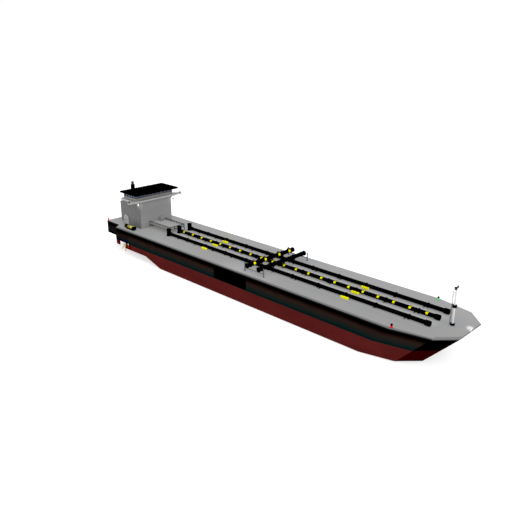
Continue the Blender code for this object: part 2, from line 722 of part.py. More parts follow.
def build_manifold():
    """Two pipes across the deck on legs, flanged at both ends, with valves on the aft one."""
    z = above_deck(MANIFOLD_HEIGHT)
    flange_radius, flange_length = MANIFOLD_FLANGE
    for place, x in MANIFOLD_X.items():
        pipe_end = MANIFOLD_HALF_SPAN - flange_length / 4
        pipe = rod((x, -pipe_end, z), (x, pipe_end, z), MANIFOLD_RADIUS)
        fittings = [rod((x, y, above_deck(GAP)), (x, y, z), MANIFOLD_LEG_RADIUS, sides=10)
                    for y in MANIFOLD_LEGS_Y]
        fittings += [rod((x, side * (MANIFOLD_HALF_SPAN - flange_length), z),
                         (x, side * MANIFOLD_HALF_SPAN, z), flange_radius, sides=16) for side in (-1, 1)]
        if place == "aft":
            length, width = MANIFOLD_VALVE_SIZE
            fittings += [block((x - length / 2, y - width / 2, z),
                               (x + length / 2, y + width / 2, above_deck(MANIFOLD_VALVE_TOP)))
                         for y in MANIFOLD_VALVES_Y]
        finished(fused(pipe, gathered(fittings)), "manifold_" + place, "pipe black")
    for side_name, y in STAND_Y.items():
        posts = [rod((x, y, above_deck(GAP)), (x, y, above_deck(STAND_HEIGHT)), STAND_POST_RADIUS, sides=8)
                 for x in STAND_X]
        rail_z = above_deck(STAND_RAIL_HEIGHT)
        rail = rod((STAND_X[0], y, rail_z), (STAND_X[1], y, rail_z), STAND_POST_RADIUS * 0.7, sides=8)
        finished(fused(gathered(posts), rail), "manifold_stand_" + side_name, "house grey")


def build_winch():
    """The starboard mooring winch: a yellow frame and a turning shaft with its drum."""
    axis_z = above_deck(WINCH_SHAFT_HEIGHT)
    head_radius, head_length = WINCH_HEAD
    barrel_half = PEDESTAL_X - PEDESTAL_SIZE[0] / 2 - WINCH_PLAY
    half = [(head_radius, WINCH_HALF_LENGTH), (head_radius, WINCH_HALF_LENGTH - head_length),
            (WINCH_SHAFT_RADIUS, WINCH_HALF_LENGTH - head_length), (WINCH_SHAFT_RADIUS, barrel_half),
            (WINCH_CHEEK_RADIUS, barrel_half), (WINCH_CHEEK_RADIUS, barrel_half - WINCH_CHEEK),
            (WINCH_BARREL_RADIUS, barrel_half - WINCH_CHEEK)]
    profile = [(0.0, WINCH_HALF_LENGTH)] + half + [(r, -h) for r, h in reversed(half)]
    profile += [(0.0, -WINCH_HALF_LENGTH)]
    drum = turned(profile, (WINCH_X, WINCH_Y, axis_z), along_x=True)
    finished(drum, "winch_drum", "pipe black")

    half_length, half_width, thick = WINCH_BED
    bed = block((WINCH_X - half_length, WINCH_Y - half_width, above_deck(GAP)),
                (WINCH_X + half_length, WINCH_Y + half_width, above_deck(thick)))
    length, width, height = PEDESTAL_SIZE
    pedestals = [block((WINCH_X + end * PEDESTAL_X - length / 2, WINCH_Y - width / 2, above_deck(thick / 2)),
                       (WINCH_X + end * PEDESTAL_X + length / 2, WINCH_Y + width / 2, above_deck(height)))
                 for end in (-1, 1)]
    half_gear, reach, gear_height = GEARBOX
    gear = block((WINCH_X - half_gear, WINCH_Y + half_width * 0.9, above_deck(GAP * 2)),
                 (WINCH_X + half_gear, WINCH_Y + reach, above_deck(gear_height)))
    frame = fused(bed, gathered(pedestals), gear)
    bore = rod((WINCH_X - WINCH_HALF_LENGTH, WINCH_Y, axis_z), (WINCH_X + WINCH_HALF_LENGTH, WINCH_Y, axis_z),
               WINCH_BORE_RADIUS, sides=24)
    finished(frame, "winch_frame", "fitting yellow", smooth=False)
    cut(frame, as_cutter(bore, "winch_bore_cutter"))


def build_foremast():
    """White mast near the bow, with its ladder and the pair of lamps at its top."""
    profile = [(0.0, MAST_HEIGHT), (MAST_RADIUS, MAST_HEIGHT)]
    for low, high in reversed(MAST_RINGS):
        profile += [(MAST_RADIUS, high), (MAST_RING_RADIUS, high), (MAST_RING_RADIUS, low)]
        if low > 0:
            profile.append((MAST_RADIUS, low))
    profile.append((0.0, 0.0))
    finished(turned(profile, (MAST_X, 0.0, above_deck(GAP)), sides=16), "foremast", "lamp white")

    seat = above_deck(MAST_HEIGHT + 2 * GAP)
    middle, tip = (seat + rise for rise in MAST_ARM_RISE)
    arm = tube([(MAST_X, -MAST_ARM_SPREAD, tip), (MAST_X, -MAST_ARM_CROOK, middle),
                (MAST_X, MAST_ARM_CROOK, middle), (MAST_X, MAST_ARM_SPREAD, tip)], MAST_ARM_RADIUS)
    cap = rod((MAST_X, 0.0, seat), (MAST_X, 0.0, middle), MAST_CAP_RADIUS, sides=10)
    heads = [rod((MAST_X, y, seat + low), (MAST_X, y, seat + high), radius, sides=12)
             for y, low, high, radius in MAST_HEADS]
    finished(fused(arm, cap, gathered(heads)), "foremast_lamps", "pipe black")

    stiles = [rod((LADDER_X, side * LADDER_HALF_WIDTH, above_deck(GAP)),
                  (LADDER_X, side * LADDER_HALF_WIDTH, above_deck(LADDER_HEIGHT)), STILE_RADIUS, sides=6)
              for side in (-1, 1)]
    heights = spread(*LADDER_RUNG_HEIGHTS, LADDER_RUNGS)
    rungs = [rod((LADDER_X, -LADDER_HALF_WIDTH, above_deck(h)), (LADDER_X, LADDER_HALF_WIDTH, above_deck(h)),
                 RUNG_RADIUS, sides=6) for h in heights]
    half_width, half_height = TIE_HALF_SIZE
    ties = [block((LADDER_X, -half_width, above_deck(h - half_height)),
                  (MAST_X - MAST_RADIUS - GAP, half_width, above_deck(h + half_height)))
            for h in heights[4::5]]
    finished(fused(gathered(stiles), gathered(rungs), gathered(ties)), "foremast_ladder", "trim grey")


def hooded_lamp(x, y, name, finish):
    """A navigation lamp on a short foot, under a hood."""
    finished(turned(HOODED_LAMP, (x, y, above_deck(GAP)), sides=16), name, finish)


def build_lamps():
    """Lamps at the stem, the bow's and stern's edges, the wing tips and under the bridge deck."""
    finished(turned(STEM_LAMP, (STEM_LAMP_X, 0.0, above_deck(GAP)), sides=16), "stem_lamp", "lamp white")
    wing_top = above_deck(WING_HEIGHT[1] + GAP)
    wing_x = sum(WING_X) / 2
    for side_name, side in SIDES.items():
        colour = "lamp red" if side_name == "starboard" else "lamp green"
        hooded_lamp(BOW_LAMP[0], side * BOW_LAMP[1], "bow_lamp_" + side_name, colour)
        hooded_lamp(STERN_LAMP[0], side * STERN_LAMP[1], "stern_lamp_" + side_name, colour)
        cone = turned(WING_LAMP, (wing_x, side * WING_LAMP_Y, wing_top), sides=16)
        finished(cone, "wing_lamp_" + side_name, "pipe black")
        build_globe_lamp(side_name, side)


def build_globe_lamp(side_name, side):
    """A white globe that hangs under the bridge deck's edge."""
    x, y, height = GLOBE_LAMP
    steps = 10
    stem_top = BRIDGE_DECK_HEIGHT[0] - GAP - height
    profile = [(0.0, stem_top), (GLOBE_STEM_RADIUS, stem_top)]
    for step in range(1, steps):
        turn = math.pi * step / steps
        radius = GLOBE_RADIUS * math.sin(turn)
        if radius > GLOBE_STEM_RADIUS or step > steps / 2:
            profile.append((max(radius, GLOBE_STEM_RADIUS), GLOBE_RADIUS * math.cos(turn)))
    profile.append((0.0, -GLOBE_RADIUS))
    globe = turned(profile, (x, side * y, above_deck(height)), sides=16)
    finished(globe, "globe_lamp_" + side_name, "lamp white")


def blade(turn):
    """One propeller blade: a thin open helical surface with a thickness."""
    columns = 6
    mesh = bpy.data.meshes.new("blade")
    points = []
    for radius, width in BLADE_WIDTHS:
        for column in range(columns):
            angle = math.radians(width) * (column / (columns - 1) - 0.5)
            points.append((BLADE_PITCH * angle / math.tau * 2, radius * math.sin(angle + turn),
                           radius * math.cos(angle + turn)))
    faces = []
    for row in range(len(BLADE_WIDTHS) - 1):
        for column in range(columns - 1):
            corner = row * columns + column
            faces.append((corner, corner + 1, corner + columns + 1, corner + columns))
    mesh.from_pydata(points, [], faces)
    part = bpy.data.objects.new("blade", mesh)
    bpy.context.scene.collection.objects.link(part)
    solid = part.modifiers.new("Solidify", "SOLIDIFY")
    solid.thickness = BLADE_THICK
    solid.offset = 0.0
    return part


def build_propellers():
    """Bronze propellers on their shafts, with the rudders behind them."""
    for side_name, side in SIDES.items():
        y = side * SCREW_Y
        half = HUB_LENGTH / 2
        centre_x = SHAFT_AFT_X - GAP * 2 - half
        hub = turned(((0.0, half), (HUB_RADIUS, half), (HUB_RADIUS, -half * 0.4),
                      (HUB_RADIUS * 0.6, -half * 0.85), (0.0, -half)), (centre_x, y, SHAFT_Z), along_x=True)
        blades = gathered([blade(math.tau * i / PROPELLER_BLADES) for i in range(PROPELLER_BLADES)])
        blades.location = (centre_x, y, SHAFT_Z)
        finished(fused(hub, blades), "propeller_" + side_name, "bronze")
        build_shaft(side_name, y)
        build_rudder(side_name, side * RUDDER_Y)


def build_shaft(side_name, y):
    """The shaft tube from the rising bottom to the propeller, and the two struts that hold it."""
    shaft = rod((SHAFT_AFT_X, y, SHAFT_Z), (RUN_START_X, y, SHAFT_Z), SHAFT_RADIUS, sides=16)
    bpy.context.view_layer.update()
    slope = Vector((RUN_START_X - RUN_END_X, 0.0, -RUN_Z)).normalized()
    outward = Vector((slope.z, 0.0, -slope.x))
    plane_point = Vector((RUN_START_X, y, 0.0)) + outward * GAP
    to_local = shaft.matrix_world.inverted()
    work = bmesh.new()
    work.from_mesh(shaft.data)
    bmesh.ops.bisect_plane(work, geom=work.verts[:] + work.edges[:] + work.faces[:],
                           plane_co=to_local @ plane_point,
                           plane_no=to_local.to_3x3() @ outward, clear_inner=True)
    bmesh.ops.holes_fill(work, edges=work.edges[:])
    bmesh.ops.recalc_face_normals(work, faces=work.faces)
    work.to_mesh(shaft.data)
    work.free()
    length, thick = STRUT_SIZE
    struts = [block((x - length / 2, y - thick / 2, SHAFT_Z), (x + length / 2, y + thick / 2, top - GAP))
              for x, top in zip(STRUT_X, (RUN_Z, PAINT_Z))]
    finished(fused(shaft, gathered(struts)), "shaft_" + side_name, "bottom red")


def foil(chord, steps=6):
    """Outline of a rudder's section; the stock is at the origin and +X runs forward."""
    upper = []
    for step in range(steps + 1):
        share = (step / steps) ** 1.5
        half = RUDDER_THICK / 2 * 2.6 * math.sqrt(share) * (1 - share) + 0.002
        upper.append((RUDDER_LEAD - chord * share, half))
    return upper + [(x, -y) for x, y in reversed(upper)]


def build_rudder(side_name, y):
    """A rudder blade under its stock, which turns in the counter."""
    levels = zip((PAINT_Z - RUDDER_CLEARANCE, RUDDER_BOTTOM_Z), RUDDER_CHORDS)
    rings = [[(x, section_y, z - PAINT_Z) for x, section_y in foil(chord)] for z, chord in levels]
    rudder = loft(rings)
    rudder.location = (RUDDER_X, y, PAINT_Z)
    stock = rod((RUDDER_X, y, PAINT_Z - RUDDER_STOCK_LENGTH), (RUDDER_X, y, PAINT_Z - GAP),
                RUDDER_STOCK_RADIUS, sides=16)
    finished(fused(rudder, stock), "rudder_" + side_name, "bottom red")


clear_scene()
PARTS = new_collection("oil_tanker")
CUTTERS = new_collection("cutters")
build_hull()
build_house()
build_bridge()
build_funnel()
build_platform()
build_cargo_lines()
build_stripping_valves()
build_manifold()
build_winch()
build_foremast()
build_lamps()
build_propellers()
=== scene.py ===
"""Looks of the oil tanker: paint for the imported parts, and the fittings too small for them.

Every length is in metres of the 1:10 model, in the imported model's own frame: +X runs to the bow,
+Y to port and +Z up from the keel.
"""
import math

import bmesh
import bpy
from bpy.props import FloatProperty, FloatVectorProperty, IntProperty, PointerProperty
from mathutils import Matrix, Vector


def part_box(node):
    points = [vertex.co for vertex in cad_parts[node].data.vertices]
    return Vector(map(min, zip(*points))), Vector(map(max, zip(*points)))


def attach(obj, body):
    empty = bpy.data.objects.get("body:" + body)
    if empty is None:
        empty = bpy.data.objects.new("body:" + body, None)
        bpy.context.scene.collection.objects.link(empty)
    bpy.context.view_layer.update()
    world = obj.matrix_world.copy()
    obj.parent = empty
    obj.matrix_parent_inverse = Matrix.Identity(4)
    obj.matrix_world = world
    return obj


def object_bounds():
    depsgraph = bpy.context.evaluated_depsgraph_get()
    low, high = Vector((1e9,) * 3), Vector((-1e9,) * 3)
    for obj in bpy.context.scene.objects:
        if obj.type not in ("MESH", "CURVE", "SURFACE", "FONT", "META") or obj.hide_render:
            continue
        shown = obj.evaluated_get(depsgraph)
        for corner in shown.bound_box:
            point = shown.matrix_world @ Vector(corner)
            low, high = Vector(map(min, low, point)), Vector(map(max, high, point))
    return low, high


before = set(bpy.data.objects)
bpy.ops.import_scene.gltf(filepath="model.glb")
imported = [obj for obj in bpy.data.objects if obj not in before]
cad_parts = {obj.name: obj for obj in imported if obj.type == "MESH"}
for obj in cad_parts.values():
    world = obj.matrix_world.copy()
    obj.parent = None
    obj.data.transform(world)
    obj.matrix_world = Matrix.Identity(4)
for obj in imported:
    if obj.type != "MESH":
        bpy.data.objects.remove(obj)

bl_info = {
    "name": "Oil tanker looks",
    "version": (1, 0, 0),
    "blender": (4, 5, 0),
    "location": "3D View > Sidebar > Tanker",
    "description": "Paints the packed parts of an oil tanker model and adds its small fittings",
    "category": "Object",
}

CAD_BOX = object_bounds()
DECK_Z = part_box("main_deck")[1][2]
PAINT_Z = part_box("hull_topsides")[0][2]
SIDES = {"starboard": -1, "port": 1}
LINES = ("starboard", "centre", "port")
X, Y, Z = Vector((1, 0, 0)), Vector((0, 1, 0)), Vector((0, 0, 1))
BLACK = (0.0, 0.0, 0.0)

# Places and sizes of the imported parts; heights are above the deck
LINE_HEIGHT = 0.10
LINE_RADIUS = 0.075
LINE_END_FLANGE = 0.17               # length
LINE_VALVES_X = (-4.61, 7.73, 21)    # first, last and how many
LINE_VALVE_HALF = (0.0275, 0.045)    # along and across
LINE_VALVE_TOP = 0.19
SADDLES_X = (-4.32, 7.29, 11)
RISER_X = -5.02
RISER_RADIUS = 0.10
RISER_TOP = 0.32
RISER_BRANCH = 0.14
MANIFOLD_X = {"aft": 0.80, "fore": 1.415}
MANIFOLD_HEIGHT = 0.265
MANIFOLD_RADIUS = 0.085
MANIFOLD_FLANGE = (0.105, 0.04)      # radius and length
MANIFOLD_LEGS_Y = (-0.50, 0.11, 0.72)
MANIFOLD_VALVES_Y = (-0.97, -0.36, 0.44, 1.05)
MANIFOLD_VALVE_HALF = (0.055, 0.05)  # along and across
MANIFOLD_VALVE_TOP = 0.37
STAND_X = (0.60, 1.61)
STAND_Y = (-1.25, 1.30)
RAIL_TOP = 0.30                      # middle of the platform's top rail
RAIL_INSET = 0.016                   # from the railing's outside
WINCH_PEDESTAL = 0.25                # from the winch's middle
WINCH_HALF_LENGTH = 0.36
WINCH_BARREL = 0.194                 # half its length
WINCH_BED_TOP = 0.02
WINCH_GEAR = (0.1475, 0.10)          # middle of the gearbox inboard of the shaft, and its height
MAST_X = 8.60
MAST_HEIGHT = 1.21
MAST_RINGS = ((0.0, 0.06), (0.61, 0.69))
MAST_HEADS = ((-0.054, 0.0475, 0.045), (0.09, 0.0625, 0.032))   # y, middle above the mast and radius
DOOR_HINGE = 0.024                   # how far the hinge reaches past the door's leaf
DOOR_FACE = 0.0035                   # from the outside of the hinge to the leaf's face
RUDDER = (-8.42, 1.15)               # x and y of its stock
WINDOW_BAND = (1.472, 1.613)
CHEEK_X = (7.231, 8.602)             # where the deck starts to narrow, slowly and then fast
CHEEK_SLOPE = 0.188
CHEEK_Y = 0.935                      # from the middle to the bow's slanted edge, square to it
BOW_SLOPE = 1.035

# Where the paint changes, and where light and shade are painted
BOW_SHADE_LINE = (0.96, 7.42, 7.44)       # painted shade on the bow's cheeks: lean of its line with height, and where it crosses the keel
PANEL_X = (-0.82, 1.0)               # plain black panel on the starboard side
STERN_RED_X = (-6.80, -6.55)         # where the redder bottom of the stern fades out
STERN_DARK_X = (-7.0, -6.8)          # where the darker side of the stern, and the painted shade at its foot, fade out
STERN_SHADE_X = (-7.6, -6.9)          # navy painted shade at the foot of that side
TEAL_LIP = 0.022                     # teal under the line between red and black
STARBOARD_PAINTED_SHADE = ((-1.0, 1.2), (-5.5, -2.0))   # y and x of the painted shade on the deck to starboard
MANIFOLD_LIGHT_RADIUS = 1.8                 # radius of the painted light on the deck by the manifold, against the shade there
STEM_LIGHT_POOL = (9.17, 0.13)            # middle of the painted pool of light by the stem lamp
STEM_LIGHT_POOL_WAY = (-0.70, 0.71)       # direction of its length
STEM_LIGHT_POOL_FADE = (0.03, 0.18)       # half width at its full shade, and where it ends
STEM_LIGHT_POOL_SQUEEZE = 0.55            # its width as a share of its length
LIT_STRIP = (-5.0, 8.0, 0.6, 0.9)      # painted light along the middle of the deck: its ends, and where it fades to the sides
HOUSE_LIT_FOOT = 0.9                     # height where the painted light on the house's foot, against its shade, ends
GLOBE_LIGHT_POOL = (0.97, 1.16, 0.34)     # y, height and radius of the painted pool of light beside a globe lamp

# Grain of the paint
PLATE_SEAM = 0.004
PANEL_SEAM = 0.003
PLATE_WIDTH = 0.534                  # of the deck's plates, across the ship
WALL_PANELS = {"y": 0.467, "x": 0.41}
WALL_PANEL_HEIGHT = 0.29
ROOF_PANELS = {"y": 0.41, "x": 0.44}
PAINT_DEPTH = 0.0006
PLATE_DEPTH = 0.002


def above_deck(height):
    """World height of a point this far above the deck."""
    return DECK_Z + height


def linear(red, green, blue):
    """A linear colour from screen values of 0 to 255."""
    return tuple((c / 255 / 12.92) if c <= 10 else ((c / 255 + 0.055) / 1.055) ** 2.4
                 for c in (red, green, blue))


def shaded(colour, factor):
    """The colour times a factor, or times one factor for each channel."""
    factors = (factor,) * 3 if isinstance(factor, float) else factor
    return tuple(c * f for c, f in zip(colour, factors))


def spread(first, last, count):
    """Evenly spaced values from first to last."""
    return [first + (last - first) * i / (count - 1) for i in range(count)]


def circle(radius, count, first=0.0):
    """Points round a circle about +Z."""
    ways = [math.tau * (i + first) / count for i in range(count)]
    return [Vector((radius * math.cos(way), radius * math.sin(way), 0)) for way in ways]


def facing(axis):
    """The turn that takes +Z to an axis."""
    return Vector(axis).to_track_quat("Z", "Y")


def middle_of(node):
    """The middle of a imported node's box."""
    low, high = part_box(node)
    return (Vector(low) + Vector(high)) / 2


# Shader maths

class Value:
    """A socket that varies over a surface. Python's operators on it add Math nodes."""

    def __init__(self, finish, socket):
        self.finish = finish
        self.socket = socket

    def maths(self, operation, *values):
        return self.finish.node("ShaderNodeMath", {"operation": operation}, values)

    def other(self, output):
        """Another output of the same node."""
        return Value(self.finish, self.socket.node.outputs[output])

    def __add__(self, other):
        return self.maths("ADD", self, other)

    def __sub__(self, other):
        return self.maths("SUBTRACT", self, other)

    def __rsub__(self, other):
        return self.maths("SUBTRACT", other, self)

    def __mul__(self, other):
        return self.maths("MULTIPLY", self, other)

    def __truediv__(self, other):
        return self.maths("DIVIDE", self, other)

    def __pow__(self, power):
        return self.maths("POWER", self, power)

    def __gt__(self, other):
        return self.maths("GREATER_THAN", self, other)

    def __lt__(self, other):
        return self.maths("LESS_THAN", self, other)

    def __abs__(self):
        return self.maths("ABSOLUTE", self)

    __radd__ = __add__
    __rmul__ = __mul__


class Finish:
    """A procedural material. Its place is the model's own frame, so marks stay on their part."""

    def __init__(self, name, **constants):
        self.material = bpy.data.materials.new(name)
        self.material.use_nodes = True
        self.nodes = self.material.node_tree.nodes
        self.links = self.material.node_tree.links
        self.shader = self.nodes["Principled BSDF"]
        for socket, value in constants.items():
            self.feed(self.shader.inputs[socket.replace("_", " ")], value)
        self.place = self.node("ShaderNodeTexCoord", output="Object")
        self.x = self.node("ShaderNodeSeparateXYZ", inputs=[self.place])
        self.y = self.x.other("Y")
        self.z = self.x.other("Z")

    def feed(self, socket, value):
        """Links a Value to the socket, or sets a plain number or colour on it."""
        if isinstance(value, Value):
            self.links.new(value.socket, socket)
        elif socket.type == "RGBA":
            socket.default_value = (*value, 1.0)
        else:
            socket.default_value = value

    def node(self, kind, settings=None, inputs=(), output=0):
        """One shader node: its settings first, then the values or links of its sockets."""
        made = self.nodes.new(kind)
        for name, value in (settings or {}).items():
            if name == "stops":
                self.set_stops(made.color_ramp.elements, value)
            else:
                setattr(made, name, value)
        for key, value in inputs.items() if isinstance(inputs, dict) else enumerate(inputs):
            self.feed(made.inputs[key], value)
        return Value(self, made.outputs[output])

    def set_stops(self, elements, stops):
        """Fills a ramp with (place, colour) stops."""
        while len(elements) < len(stops):
            elements.new(1.0)
        for element, (place, colour) in zip(elements, stops):
            element.position = place
            element.color = (*colour, 1.0)

    def mix(self, share, first, second):
        """A colour between two, by a share from 0 to 1."""
        return self.node("ShaderNodeMix", {"data_type": "RGBA"}, {0: share, 6: first, 7: second}, output=2)

    def rise(self, value, low, high):
        """0 below low, 1 above high, and smooth between."""
        return self.node("ShaderNodeMapRange", {"interpolation_type": "SMOOTHSTEP"},
                         {"Value": value, "From Min": low, "From Max": high})

    def band(self, value, low, high, soft=0.004):
        """1 between low and high, with soft edges."""
        return self.rise(value, low - soft, low) * (1 - self.rise(value, high, high + soft))

    def noise(self, scale, detail=3.0, stretch=None):
        """Cloudy noise of about 0 to 1; stretch squeezes it along each axis."""
        place = self.place
        if stretch:
            place = self.node("ShaderNodeVectorMath", {"operation": "MULTIPLY"}, [place, stretch])
        return self.node("ShaderNodeTexNoise", inputs={"Vector": place, "Scale": scale, "Detail": detail})

    def patches(self, low, high, *noise):
        """Patches where noise rises from low to high."""
        return self.rise(self.noise(*noise), low, high)

    def varied(self, middle, noise, swing):
        """A value about a middle, which noise moves over a swing."""
        return middle + (noise - 0.5) * swing

    def specks(self, scale, size):
        """Small round specks, one in each cell of about 1 / scale."""
        cells = self.node("ShaderNodeTexVoronoi", inputs={"Vector": self.place, "Scale": scale})
        return 1 - self.rise(cells, size * 0.5, size)

    def to_nearest(self, coordinate, pitch):
        """Distance to the nearest multiple of the pitch."""
        return self.node("ShaderNodeMath", {"operation": "PINGPONG"}, [coordinate, pitch / 2])

    def seams(self, coordinate, pitch, width):
        """Thin lines at every pitch along a coordinate."""
        return 1 - self.rise(self.to_nearest(coordinate, pitch), 0.0, width)

    def panels(self, width, **pitches):
        """Thin lines square to each named axis, at its pitch."""
        return sum(self.seams(getattr(self, axis), pitch, width) for axis, pitch in pitches.items())

    def near(self, point, radius):
        """1 at the point, falling to 0 at the radius."""
        away = self.node("ShaderNodeVectorMath", {"operation": "DISTANCE"}, [self.place, point], "Value")
        return 1 - self.rise(away, 0.0, radius)

    def done(self, colour, roughness, bump=None, depth=PLATE_DEPTH, emission=None):
        """Feeds the shader's sockets and gives the material."""
        self.feed(self.shader.inputs["Base Color"], colour)
        self.feed(self.shader.inputs["Roughness"], roughness)
        if bump is not None:
            relief = self.node("ShaderNodeBump", inputs={"Strength": 0.6, "Distance": depth, "Height": bump})
            self.feed(self.shader.inputs["Normal"], relief)
        if emission is not None:
            self.feed(self.shader.inputs["Emission Color"], emission)
        return self.material


def coat(material, *nodes):
    """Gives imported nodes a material."""
    for name in nodes:
        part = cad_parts[name]
        if not part.material_slots:
            part.data.materials.append(material)
        for slot in part.material_slots:
            slot.material = material


# Mesh making

class Shape:
    """Closed solids gathered into one mesh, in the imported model's frame."""

    SMOOTH_ANGLE = math.radians(40)
    SPOKES = 5
    SINK = 0.002                     # of a foot plate into what carries it
    BRACKET_HALF = 0.005             # half a bracket's thickness

    def __init__(self):
        self.mesh = bmesh.new()

    def swept(self, rings, closed=False):
        """A solid through rings of points, capped at its ends or closed on itself."""
        rows = [[self.mesh.verts.new(point) for point in ring] for ring in rings]
        following = rows[1:] + rows[:1] if closed else rows[1:]
        for row, after in zip(rows, following):
            for i in range(len(row)):
                j = (i + 1) % len(row)
                self.mesh.faces.new((row[i], row[j], after[j], after[i]))
        if not closed:
            self.mesh.faces.new(rows[0])
            self.mesh.faces.new(rows[-1])
        return self

    def turned(self, profile, centre, axis, sides):
        """A turned solid; the profile gives (radius, distance along the axis), all radii above 0."""
        turn = facing(axis)
        return self.swept([[Vector(centre) + turn @ (point + Z * along) for point in circle(radius, sides)]
                           for radius, along in profile])

    def rod(self, start, end, radius, sides):
        """A round bar with a small chamfer at each end."""
        start, end = Vector(start), Vector(end)
        length = (end - start).length
        edge = min(radius * 0.15, length * 0.2)
        profile = ((radius - edge, 0), (radius, edge), (radius, length - edge), (radius - edge, length))
        return self.turned(profile, start, end - start, sides)

    def ring(self, centre, axis, radius, thickness, sides=32, section=8):
        """A torus."""
        turn = facing(axis)
        rings = []
        for out in circle(1.0, sides):
            rings.append([Vector(centre) + turn @ (out * (radius + around.x) + Z * around.y)
                          for around in circle(thickness, section)])
        return self.swept(rings, closed=True)

    def box(self, low, high, bevel):
        """A box between two corners, with its edges bevelled."""
        low, high = Vector(low), Vector(high)
        place = Matrix.Translation((low + high) / 2) @ Matrix.Diagonal((*(high - low), 1))
        made = bmesh.ops.create_cube(self.mesh, size=1.0, matrix=place)
        edges = list({edge for vert in made["verts"] for edge in vert.link_edges})
        bmesh.ops.bevel(self.mesh, geom=edges, offset=bevel, segments=2, affect="EDGES", profile=0.5)
        return self

    def plate(self, centre, half_x, half_y, top, bevel=0.003):
        """A thin foot plate whose underside sinks a little into what carries it."""
        x, y, z = centre
        return self.box((x - half_x, y - half_y, z - self.SINK), (x + half_x, y + half_y, z + top), bevel)

    def bracket(self, outline, across):
        """A flat outline made into a thin upright plate; across is its thin axis."""
        return self.swept([[Vector(point) + across * shift for point in outline]
                           for shift in (-self.BRACKET_HALF, self.BRACKET_HALF)])

    def pipe(self, points, radius, sides):
        """A bar bent through the points."""
        points = [Vector(p) for p in points]
        rings = []
        for i, point in enumerate(points):
            before = (point - points[max(i - 1, 0)]).normalized()
            after = (points[min(i + 1, len(points) - 1)] - point).normalized()
            turn = facing((before + after).normalized())
            rings.append([point + turn @ out for out in circle(radius, sides)])
        return self.swept(rings)

    def handle(self, foot, along, length, reach, radius, start):
        """A small bow handle of a length along one axis; its legs go from start out to reach."""
        near, far = Vector(foot), Vector(foot) + along * length
        root = reach.normalized() * start
        return self.pipe([near + root, near + reach, far + reach, far + root], radius, 8)

    def bolts(self, centre, axis, radius, count, size):
        """Hexagon heads in a circle, standing out along the axis."""
        turn = facing(axis)
        head = ((size, -size * 0.3), (size, size * 0.9), (size * 0.75, size * 1.1))
        for out in circle(radius, count, first=0.5):
            self.turned(head, Vector(centre) + turn @ out, axis, 6)
        return self

    def flange_pair(self, centre, axis, pipe, bolts):
        """Two bolted flanges face to face round a pipe of this radius."""
        half, edge = 0.007, 0.002
        radius, inside = pipe + 0.020, pipe - 0.005
        profile = ((inside, -half), (radius - edge, -half), (radius, edge - half), (radius, half - edge),
                   (radius - edge, half), (inside, half))
        for side in (-1, 1):
            middle = Vector(centre) + axis * side * (half + edge)
            self.turned(profile, middle, axis, 28)
            self.bolts(middle + axis * side * half, axis * side, radius - 0.009, bolts, 0.0044)
        return self

    def wheel(self, centre, axis, radius, rim):
        """A valve's handwheel with its spokes and hub."""
        self.ring(centre, axis, radius, rim, sides=28)
        turn = facing(axis)
        for out in circle(1.0, self.SPOKES):
            out = turn @ out
            self.rod(Vector(centre) + out * rim, Vector(centre) + out * (radius - rim * 0.3), rim * 0.7, 6)
        self.turned(((rim * 2, -rim * 1.4), (rim * 2, rim * 1.4), (rim, rim * 2.2)), centre, axis, 12)
        return self

    def placed(self, name, material, slot, body="hull"):
        """Makes the object, with its finish and the body it rides on; its slot is not used."""
        bmesh.ops.recalc_face_normals(self.mesh, faces=self.mesh.faces)
        data = bpy.data.meshes.new(name)
        self.mesh.to_mesh(data)
        self.mesh.free()
        data.materials.append(material)
        data.shade_smooth()
        data.set_sharp_from_angle(angle=self.SMOOTH_ANGLE)
        piece = bpy.data.objects.new(name, data)
        bpy.context.scene.collection.objects.link(piece)
        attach(piece, body)


# Settings

def colour_setting(name, description, default):
    """A paint colour that a user may change."""
    return FloatVectorProperty(name=name, description=description, subtype="COLOR", size=3, min=0.0, max=1.0,
                               default=default)


def length_setting(name, description, default):
    """A length that a user may change."""
    return FloatProperty(name=name, description=description, subtype="DISTANCE", unit="LENGTH", min=0.0,
                         default=default)


def strength_setting(name, description, default):
    """A strength of light that a user may change."""
    return FloatProperty(name=name, description=description, min=0.0, default=default)


class HullSettings(bpy.types.PropertyGroup):
    """Paint and plating of the hull and deck."""
    topside_black: colour_setting("Topside black", "Paint under the deck's edge", linear(0, 0, 0))
    # Topside brown: the browner colour lower on the side, under the black.
    topside_brown: colour_setting("Topside brown", "Faded paint lower on the side", linear(40, 26, 22))
    border_teal: colour_setting("Border teal", "Line where black meets red", linear(1, 24, 24))
    bottom_red: colour_setting("Bottom red", "Paint under the waterline", linear(81, 26, 25))
    # Bow red is painted shade: a darker red on the bow's cheeks.
    bow_shade_red: colour_setting("Bow red", "Darker red on the bow's cheeks", linear(41, 1, 1))
    deck_grey: colour_setting("Deck grey", "Matt deck paint", linear(116, 116, 116))
    # Deck edge grey is the real grey of the deck's side and, with bow grey, the painted shade of the deck's
    # margins.
    edge_grey: colour_setting("Deck edge grey", "Darker margin of the deck", linear(108, 108, 108))
    bow_shade_grey: colour_setting("Bow grey", "Margin of the deck round the bow", linear(122, 122, 122))
    margin: length_setting("Margin", "Width of the deck's darker margin", 0.10)
    deck_glow: strength_setting("Deck glow", "Light of the deck itself, which thins its shadows", 0.9)
    plate_length: length_setting("Plate length", "Distance between upright welds", 1.2)
    plate_height: length_setting("Plate height", "Distance between level welds", 0.25)


